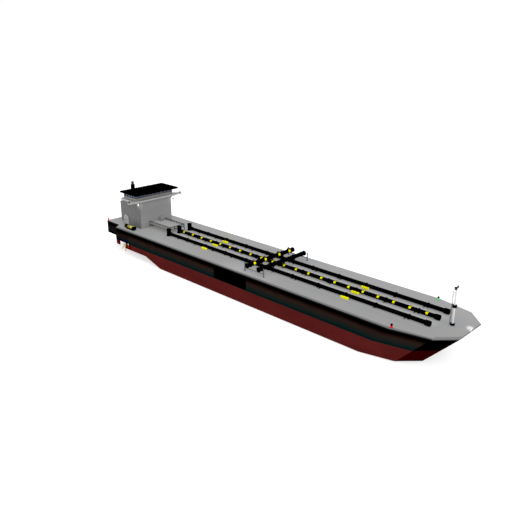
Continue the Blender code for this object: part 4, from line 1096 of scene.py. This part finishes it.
class TANKER_OT_cargo_lines(bpy.types.Operator):
    """Black pipe paint, flanged joints, straps over the saddles, and lids of the centre line's valves"""
    bl_idname = "tanker.cargo_lines"
    bl_label = "Cargo lines"

    JOINTS = 10
    BLANK = ((0.052, -0.004), (0.052, 0.008), (0.045, 0.012))   # profile of the boss on a line's end
    RISER_RIM = 0.012                # how far a riser's cap stands out
    STRAP_GAP = 0.0035               # from the line to the middle of its strap
    STRAP_RADIUS = 0.005

    def execute(self, context):
        fittings = context.scene.tanker_fittings
        black = black_paint("pipe_paint", fittings.pipe_black)
        coat(black, "manifold_fore")
        for name in LINES:
            coat(black, "cargo_line_" + name, "cargo_riser_" + name)
            y, end = middle_of("cargo_line_" + name).y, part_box("cargo_line_" + name)[1][0]
            self.joints(y, end, fittings.flange_bolts).placed("line_flanges_" + name, black, "pipe_black")
            self.straps(y).placed("line_straps_" + name, black, "pipe_black")
        self.valves(fittings)
        return {"FINISHED"}

    def joints(self, y, end, bolts):
        """Flanges along one line, at its end, and on its riser."""
        z = above_deck(LINE_HEIGHT)
        made = Shape()
        first, last, count = LINE_VALVES_X
        pitch = (last - first) / (count - 1)
        for x in spread(first + pitch * 1.5, last - pitch * 0.5, self.JOINTS) + [RISER_X + RISER_BRANCH]:
            made.flange_pair((x, y, z), X, LINE_RADIUS, bolts)
        made.bolts((end, y, z), X, LINE_RADIUS + 0.009, bolts, 0.006)
        made.turned(self.BLANK, (end, y, z), X, 24)
        made.bolts((end - LINE_END_FLANGE, y, z), -X, LINE_RADIUS + 0.012, bolts, 0.005)
        top, rim = above_deck(RISER_TOP), RISER_RADIUS + self.RISER_RIM
        cap = ((rim - 0.017, -0.022), (rim - 0.002, -0.022), (rim, -0.020), (rim, -0.006),
               (rim - 0.003, -0.002), (0.05, 0.004))
        made.turned(cap, (RISER_X, y, top), Z, 32)
        made.bolts((RISER_X, y, top - 0.004), Z, rim - 0.011, bolts, 0.005)
        foot = ((rim + 0.018, -0.003), (rim + 0.018, 0.010), (RISER_RADIUS - 0.001, 0.013))
        return made.turned(foot, (RISER_X, y, DECK_Z), Z, 32)

    def straps(self, y):
        """A round strap over the line at each saddle, with its two feet."""
        reach = LINE_RADIUS + self.STRAP_GAP
        arch = [(y + reach * math.cos(turn), above_deck(LINE_HEIGHT) + reach * math.sin(turn))
                for turn in spread(0.0, math.pi, 13)]
        legs = [(y + reach, DECK_Z + 0.003)] + arch + [(y - reach, DECK_Z + 0.003)]
        made = Shape()
        for x in spread(*SADDLES_X):
            made.pipe([(x, across, z) for across, z in legs], self.STRAP_RADIUS, 8)
            for side in SIDES.values():
                made.plate((x, y + side * reach, DECK_Z), 0.016, 0.016, 0.006, 0.002)
        return made

    def valves(self, fittings):
        """Yellow paint on the boxes astride the centre line, with their lids and dull handles."""
        first, last, count = LINE_VALVES_X
        half_length, half_width = LINE_VALVE_HALF
        finish, shade, gloss, fine = pipe_paint("centre_line_paint", fittings.pipe_black)
        boxes = finish.to_nearest(finish.x - first, (last - first) / (count - 1)) < half_length * 1.5
        boxes *= finish.z > above_deck(LINE_HEIGHT + 0.005)
        boxes *= finish.z < above_deck(LINE_VALVE_TOP - 0.012)
        boxes *= (finish.x > first - 0.1) * (finish.x < last + 0.1)
        shade = finish.mix(boxes, shade, worn_yellow(finish, fittings.yellow))
        coat(finish.done(shade, gloss, fine, PAINT_DEPTH), "cargo_line_centre")
        top = above_deck(LINE_VALVE_TOP)
        lids, handles = Shape(), Shape()
        for x in spread(*LINE_VALVES_X):
            lids.plate((x, 0.0, top), half_length - 0.006, half_width - 0.006, 0.005)
            lids.bolts((x, 0.0, top + 0.005), Z, 0.022, 4, 0.0035)
            handles.handle((x, 0.010, top), Y, 0.024, Z * 0.014, 0.003, 0.003)
        olive = plain_paint("lid_olive", linear(150, 140, 0), 0.5, 0.2)
        lids.placed("line_valve_lids", olive, "fitting_yellow")
        handles.placed("line_valve_handles", olive, "fitting_yellow")


class TANKER_OT_valve_boxes(bpy.types.Operator):
    """Yellow paint, lids, hinges and handles of the six long valve boxes"""
    bl_idname = "tanker.valve_boxes"
    bl_label = "Valve boxes"

    LID = (0.004, 0.014)             # how far it stands out, and its depth under the box's top
    HANDLE_INSET = 0.09
    HANDLE_LENGTH = 0.05
    HINGE_INSET = 0.06
    HINGE_HALF = 0.016

    def execute(self, context):
        yellow = yellow_paint(context.scene.tanker_fittings)
        steel = plain_paint("box_steel", linear(96, 90, 60), 0.4, 0.25)
        for place in ("aft", "fore"):
            for line in LINES:
                name = "%s_%s" % (place, line)
                coat(yellow, "valve_box_" + name)
                low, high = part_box("valve_box_" + name)
                out, depth = self.LID
                lid = Shape().box((low[0] - out, low[1] - out, high[2] - depth),
                                  (high[0] + out, high[1] + out, high[2] + out), 0.003)
                lid.placed("box_lid_" + name, yellow, "fitting_yellow")
                self.iron(low, high).placed("box_iron_" + name, steel, "fitting_yellow")
        return {"FINISHED"}

    def iron(self, low, high):
        """Handles on one lid, and its hinges."""
        middle_x, middle_y = (low[0] + high[0]) / 2, (low[1] + high[1]) / 2
        made = Shape()
        for x in (low[0] + self.HANDLE_INSET, high[0] - self.HANDLE_INSET):
            foot = (x - self.HANDLE_LENGTH / 2, middle_y, high[2])
            made.handle(foot, X, self.HANDLE_LENGTH, Z * 0.016, 0.0032, 0.002)
        y, z = high[1] + 0.007, high[2] - 0.012
        for x in (low[0] + self.HINGE_INSET, middle_x, high[0] - self.HINGE_INSET):
            made.rod((x - self.HINGE_HALF, y, z), (x + self.HINGE_HALF, y, z), 0.005, 10)
        return made


class TANKER_OT_manifold(bpy.types.Operator):
    """Yellow valve bodies on the aft cross pipe, red handwheels, flange bolts and the stands' feet"""
    bl_idname = "tanker.manifold"
    bl_label = "Manifold"

    BODY = (-0.02, 0.075)            # bottom and top of a valve's yellow body, from the pipe's middle
    PAINT_PAST = 0.0007              # how far the yellow goes past a body's ends
    BONNET = ((0.040, -0.003), (0.040, 0.006), (0.022, 0.010), (0.014, 0.022))
    JOINTS_Y = (0.68, 1.16)

    def execute(self, context):
        fittings = context.scene.tanker_fittings
        self.valves(fittings)
        black = black_paint("flange_paint", fittings.pipe_black)
        for place, x in MANIFOLD_X.items():
            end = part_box("manifold_" + place)[1][1]
            flanges = self.flanges(x, end, fittings.flange_bolts)
            flanges.placed("manifold_flanges_" + place, black, "pipe_black")
        stand = plain_paint("stand_paint", linear(92, 92, 92), 0.6, 0.2)
        coat(stand, "manifold_stand_starboard", "manifold_stand_port")
        feet = Shape()
        for y in STAND_Y:
            for x in STAND_X:
                feet.plate((x, y, DECK_Z), 0.035, 0.035, 0.006)
                feet.bolts((x, y, DECK_Z + 0.006), Z, 0.034, 4, 0.004)
        feet.placed("stand_feet", stand, "house_grey")
        return {"FINISHED"}

    def valves(self, fittings):
        """Paint of the aft pipe and its valves, with their bonnets and handwheels."""
        x = MANIFOLD_X["aft"]
        half_length, half_width = MANIFOLD_VALVE_HALF
        finish, shade, gloss, fine = pipe_paint("manifold_paint", fittings.pipe_black)
        bodies = sum(abs(finish.y - y) < half_width + self.PAINT_PAST for y in MANIFOLD_VALVES_Y)
        heights = (above_deck(MANIFOLD_HEIGHT + height) for height in self.BODY)
        bodies *= (finish.x > x - half_length) * finish.band(finish.z, *heights, 0.002)
        shade = finish.mix(bodies, shade, worn_yellow(finish, fittings.yellow))
        coat(finish.done(shade, gloss, fine, PAINT_DEPTH), "manifold_aft")
        top = above_deck(MANIFOLD_VALVE_TOP)
        wheels, bonnets = Shape(), Shape()
        for y in MANIFOLD_VALVES_Y:
            wheels.wheel((x, y, top + 0.036), Z, fittings.wheel_radius, 0.005)
            wheels.rod((x, y, top - 0.004), (x, y, top + 0.040), 0.007, 10)
            bonnets.turned(self.BONNET, (x, y, top), Z, 20)
            bonnets.bolts((x, y, top + 0.006), Z, 0.031, 6, 0.004)
        red = plain_paint("handwheel_red", fittings.wheel_red, 0.45, 0.3)
        wheels.placed("manifold_handwheels", red, "fitting_yellow")
        bonnets.placed("valve_bonnets", red, "fitting_yellow")

    def flanges(self, x, end, bolts):
        """Flanges of one cross pipe and the foot plates of its legs."""
        z = above_deck(MANIFOLD_HEIGHT)
        radius, length = MANIFOLD_FLANGE
        made = Shape()
        for side in SIDES.values():
            made.bolts((x, side * (end - length), z), -Y * side, radius - 0.010, bolts, 0.0045)
            for y in self.JOINTS_Y:
                made.flange_pair((x, side * y, z), Y, MANIFOLD_RADIUS, bolts)
        for y in MANIFOLD_LEGS_Y:
            made.plate((x, y, DECK_Z), 0.05, 0.04, 0.008)
        return made


class TANKER_OT_winch(bpy.types.Operator):
    """Winch paint, the drum's end caps, and the bolts of its bearings, gearbox and bed"""
    bl_idname = "tanker.winch"
    bl_label = "Winch"

    END_CAP = ((0.050, -0.003), (0.050, 0.004), (0.028, 0.007), (0.028, 0.010), (0.018, 0.013))
    GEAR_BOSS = ((0.030, -0.002), (0.030, 0.010), (0.020, 0.016))
    GEAR_START = (0.050, 0.054)      # inboard of the shaft
    GEAR_FOOT = 0.045                # height where the gearbox's yellow starts

    def execute(self, context):
        fittings = context.scene.tanker_fittings
        middle = middle_of("winch_drum")
        coat(self.frame_paint(fittings, middle.y), "winch_frame")
        coat(self.drum_paint(fittings, middle.x), "winch_drum")
        self.bolts(middle).placed("winch_bolts", yellow_paint(fittings), "fitting_yellow")
        caps = Shape()
        for side in (-1, 1):
            caps.turned(self.END_CAP, middle + X * side * WINCH_HALF_LENGTH, X * side, 24)
        black = black_paint("drum_end_paint", fittings.pipe_black)
        caps.placed("winch_head_caps", black, "pipe_black", "winch_drum")
        return {"FINISHED"}

    def frame_paint(self, fittings, shaft_y):
        """Black bed and pedestals, with the gearbox's upper part yellow."""
        finish, shade, gloss, fine = pipe_paint("winch_frame_paint", fittings.pipe_black)
        gearbox = finish.rise(finish.y, *(shaft_y + y for y in self.GEAR_START))
        gearbox *= finish.z > above_deck(self.GEAR_FOOT)
        shade = finish.mix(gearbox, shade, worn_yellow(finish, linear(196, 186, 80)))
        return finish.done(shade, gloss, fine, PAINT_DEPTH)

    def drum_paint(self, fittings, middle_x):
        """Black ends and a yellow barrel with its grooves."""
        finish, shade, gloss, fine = pipe_paint("drum_paint", fittings.pipe_black)
        barrel = 1 - finish.rise(abs(finish.x - middle_x), WINCH_BARREL - 0.001, WINCH_BARREL + 0.001)
        wire = finish.mix(finish.patches(0.45, 0.55, 9.0), linear(236, 226, 20), linear(150, 140, 40))
        relief = fine * 0.2 - finish.seams(finish.x, 0.016, 0.006) * barrel
        return finish.done(finish.mix(barrel, shade, wire), gloss, relief, PLATE_DEPTH)

    def bolts(self, middle):
        """Bolts of the bearings, the gearbox and the bed."""
        made = Shape()
        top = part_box("winch_frame")[1][2]
        gear_y, gear_top = WINCH_GEAR
        gear = (middle.x, middle.y + gear_y, above_deck(gear_top))
        made.turned(self.GEAR_BOSS, gear, Z, 20)
        made.bolts(gear, Z, 0.045, 6, 0.005)
        for side in (-1, 1):
            x = middle.x + side * WINCH_PEDESTAL
            for y in (-0.032, 0.032):
                made.bolts((x, middle.y + y, top), Z, 0.009, 2, 0.004)
            made.bolts((x - side * 0.05, middle.y, above_deck(WINCH_BED_TOP)), Z, 0.04, 4, 0.004)
        return made


class TANKER_OT_foremast(bpy.types.Operator):
    """White mast with its black rings and their bolts, and the lenses of its lamps"""
    bl_idname = "tanker.foremast"
    bl_label = "Foremast"

    PAINT_PAST = 0.0005              # how far the black goes past a ring's top and bottom
    LENS_HALF = 0.012
    LENS_EDGE = 0.006
    LENS_SWELL = 0.0015

    def execute(self, context):
        fittings = context.scene.tanker_fittings
        coat(self.mast_paint(fittings), "foremast")
        finish, shade, gloss, fine = pipe_paint("mast_head_paint", fittings.pipe_black)
        colour = finish.mix(finish.rise(finish.y, 0.02, 0.03), shade, linear(118, 118, 118))
        coat(finish.done(colour, gloss, fine, PAINT_DEPTH), "foremast_lamps")
        bolts = Shape()
        for low, high in MAST_RINGS:
            bolts.bolts((MAST_X, 0.0, above_deck(high)), Z, 0.052, 8, 0.006)
        bolts.placed("mast_ring_bolts", black_paint("mast_ring_paint", fittings.pipe_black), "pipe_black")
        lenses = Shape()
        for y, height, radius in MAST_HEADS:
            ends, side = radius - 0.001, radius + self.LENS_SWELL
            profile = ((ends, -self.LENS_HALF), (side, -self.LENS_EDGE), (side, self.LENS_EDGE),
                       (ends, self.LENS_HALF))
            lenses.turned(profile, (MAST_X, y, above_deck(MAST_HEIGHT + height)), Z, 20)
        lenses.placed("mast_lenses", plain_paint("mast_lens", linear(70, 72, 74), 0.2, 0.1), "lamp_white")
        return {"FINISHED"}

    def mast_paint(self, fittings):
        """White with rain streaks, and black rings."""
        finish = Finish("mast_paint", Specular_IOR_Level=0.0)
        cloudy = finish.noise(9.0, 4.0)
        colour = finish.mix(cloudy, shaded(fittings.lamp_white, 0.72), shaded(fittings.lamp_white, 0.82))
        streaks = finish.patches(0.6, 0.8, 1.0, 3.0, (60.0, 60.0, 3.0))
        colour = finish.mix(streaks * 0.25, colour, linear(150, 120, 96))
        past = self.PAINT_PAST
        rings = sum(finish.band(finish.z, above_deck(low - past), above_deck(high + past), 0.001)
                    for low, high in MAST_RINGS)
        colour = finish.mix(rings, colour, fittings.pipe_black)
        return finish.done(colour, 0.45 + cloudy * 0.1, cloudy, PAINT_DEPTH)


class TANKER_OT_lamps(bpy.types.Operator):
    """Coloured lenses under black caps, white globes, the deck lamps' feet and the wing lamps' hoods"""
    bl_idname = "tanker.lamps"
    bl_label = "Lamps"

    CAP_HEIGHTS = {"bow": 0.058, "stern": 0.110}
    GLOWING = (0.10, 0.022)          # bottom and top of a globe's glowing part, under its top
    HOOD = ((0.036, -0.012), (0.040, -0.008), (0.040, 0.010), (0.034, 0.016))

    def execute(self, context):
        fittings = context.scene.tanker_fittings
        for side_name, colour in (("starboard", fittings.lamp_red), ("port", fittings.lamp_green)):
            for end, cap in self.CAP_HEIGHTS.items():
                coat(lens_paint("%s_lens_%s" % (end, side_name), colour, fittings.pipe_black, cap),
                     "%s_lamp_%s" % (end, side_name))
        coat(self.globe_paint(), "globe_lamp_starboard", "globe_lamp_port")
        coat(plain_paint("stem_lamp_glass", linear(205, 205, 205), 0.3, 0.08), "stem_lamp")
        steel = plain_paint("lamp_foot_paint", linear(12, 12, 12), 0.6, 0.2)
        feet, hoods = Shape(), Shape()
        names = ["%s_lamp_%s" % (end, side_name) for end in self.CAP_HEIGHTS for side_name in SIDES]
        for name in names + ["stem_lamp"]:
            low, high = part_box(name)
            middle = middle_of(name)
            middle.z = DECK_Z + 0.001
            feet.ring(middle, Z, (high[0] - low[0]) / 2 + 0.001, 0.004, 24, 6)
        feet.placed("lamp_feet", steel, "trim_grey")
        for side_name in SIDES:
            middle = middle_of("wing_lamp_" + side_name)
            middle.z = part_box("wing_lamp_" + side_name)[0][2]
            hoods.turned(self.HOOD, middle, Z, 20)
        hoods.placed("wing_lamp_hoods", steel, "pipe_black")
        return {"FINISHED"}

    def globe_paint(self):
        """White globes that glow between a dull foot and a dull cap."""
        finish = Finish("lamp_globe", Emission_Strength=0.6)
        cloudy = finish.noise(20.0)
        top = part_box("globe_lamp_starboard")[1][2]
        glowing = finish.band(finish.z, *(top - height for height in self.GLOWING))
        glow = finish.mix(cloudy, (0.92, 0.92, 0.90), (1.0, 1.0, 1.0))
        glow = finish.mix(glowing, linear(120, 118, 114), glow)
        return finish.done(glow, 0.25 + cloudy * 0.1, cloudy, 0.0003, glow)


class TANKER_OT_stern_gear(bpy.types.Operator):
    """Bronze propellers with their cap nuts, and the rudders' collars and zinc anodes"""
    bl_idname = "tanker.stern_gear"
    bl_label = "Propellers and rudders"

    NUT = ((0.024, -0.004), (0.024, 0.006), (0.016, 0.020), (0.006, 0.026))
    COLLAR = ((0.062, -0.006), (0.062, 0.004), (0.040, 0.0075))
    ANODE_HEIGHTS = (0.26, 0.46)     # above the keel
    ANODE_X = (-0.05, 0.04)          # from the rudder's stock
    ANODE_DEPTHS = (0.006, -0.009)   # into the rudder's face and out of it
    ANODE_HALF = 0.012

    def execute(self, context):
        scene = context.scene
        bronze = self.bronze(scene.tanker_fittings)
        coat(bronze, "propeller_starboard", "propeller_port")
        red = bottom_paint(scene.tanker_hull)
        zinc = plain_paint("zinc", linear(150, 150, 146), 0.6, 0.3)
        for side_name, side in SIDES.items():
            hub = middle_of("propeller_" + side_name)
            hub.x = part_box("propeller_" + side_name)[0][0]
            nut = Shape().turned(self.NUT, hub, -X, 20)
            nut.placed("propeller_nut_" + side_name, bronze, "bronze", side_name + "_propeller")
            head = Vector((RUDDER[0], side * RUDDER[1], PAINT_Z))
            collar = Shape().turned(self.COLLAR, head, -Z, 24).bolts(head - Z * 0.004, -Z, 0.053, 8, 0.004)
            collar.placed("rudder_collar_" + side_name, red, "bottom_red")
            anodes = self.anodes("rudder_" + side_name, side)
            anodes.placed("rudder_anodes_" + side_name, zinc, "trim_grey", side_name + "_rudder")
        return {"FINISHED"}

    def bronze(self, fittings):
        """Bright bronze with brown tarnish and green specks."""
        finish = Finish("propeller_bronze", Metallic=0.35)
        tarnish = finish.patches(0.45, 0.7, 9.0, 5.0)
        colour = finish.mix(tarnish * 0.6, fittings.bronze, linear(190, 166, 110))
        colour = finish.mix(finish.specks(40.0, 0.10) * 0.5, colour, linear(110, 150, 136))
        return finish.done(colour, 0.32 + tarnish * 0.25, finish.noise(60.0, 4.0), 0.0008)

    def anodes(self, node, side):
        """Two zinc blocks on the rudder's inner face."""
        low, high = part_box(node)
        face = low[1] if side > 0 else high[1]
        near, far = sorted(face + side * depth for depth in self.ANODE_DEPTHS)
        start, end = (RUDDER[0] + x for x in self.ANODE_X)
        made = Shape()
        for z in self.ANODE_HEIGHTS:
            made.box((start, near, z - self.ANODE_HALF), (end, far, z + self.ANODE_HALF), 0.003)
        return made


PIECES = (TANKER_OT_stage, TANKER_OT_hull, TANKER_OT_house, TANKER_OT_bridge, TANKER_OT_funnel,
          TANKER_OT_platform, TANKER_OT_cargo_lines, TANKER_OT_valve_boxes, TANKER_OT_manifold,
          TANKER_OT_winch, TANKER_OT_foremast, TANKER_OT_lamps, TANKER_OT_stern_gear)


class TANKER_PT_pieces(bpy.types.Panel):
    """Buttons for the tanker's pieces, with their sizes and colours"""
    bl_idname = "TANKER_PT_pieces"
    bl_label = "Oil tanker"
    bl_space_type = "VIEW_3D"
    bl_region_type = "UI"
    bl_category = "Tanker"

    def draw(self, context):
        for name, group in SETTINGS.items():
            box = self.layout.box()
            settings = getattr(context.scene, name)
            for setting in group.__annotations__:
                box.prop(settings, setting)
        for piece in PIECES:
            self.layout.operator(piece.bl_idname)


def register():
    """Makes the settings, operators and panel known to Blender."""
    for name, group in SETTINGS.items():
        bpy.utils.register_class(group)
        setattr(bpy.types.Scene, name, PointerProperty(type=group))
    for piece in PIECES:
        bpy.utils.register_class(piece)
    bpy.utils.register_class(TANKER_PT_pieces)


def unregister():
    """Takes them away again."""
    bpy.utils.unregister_class(TANKER_PT_pieces)
    for piece in reversed(PIECES):
        bpy.utils.unregister_class(piece)
    for name, group in SETTINGS.items():
        delattr(bpy.types.Scene, name)
        bpy.utils.unregister_class(group)


def main():
    """Makes every piece in order."""
    register()
    for piece in PIECES:
        group, name = piece.bl_idname.split(".")
        getattr(getattr(bpy.ops, group), name)()


if __name__ == "__main__":
    main()
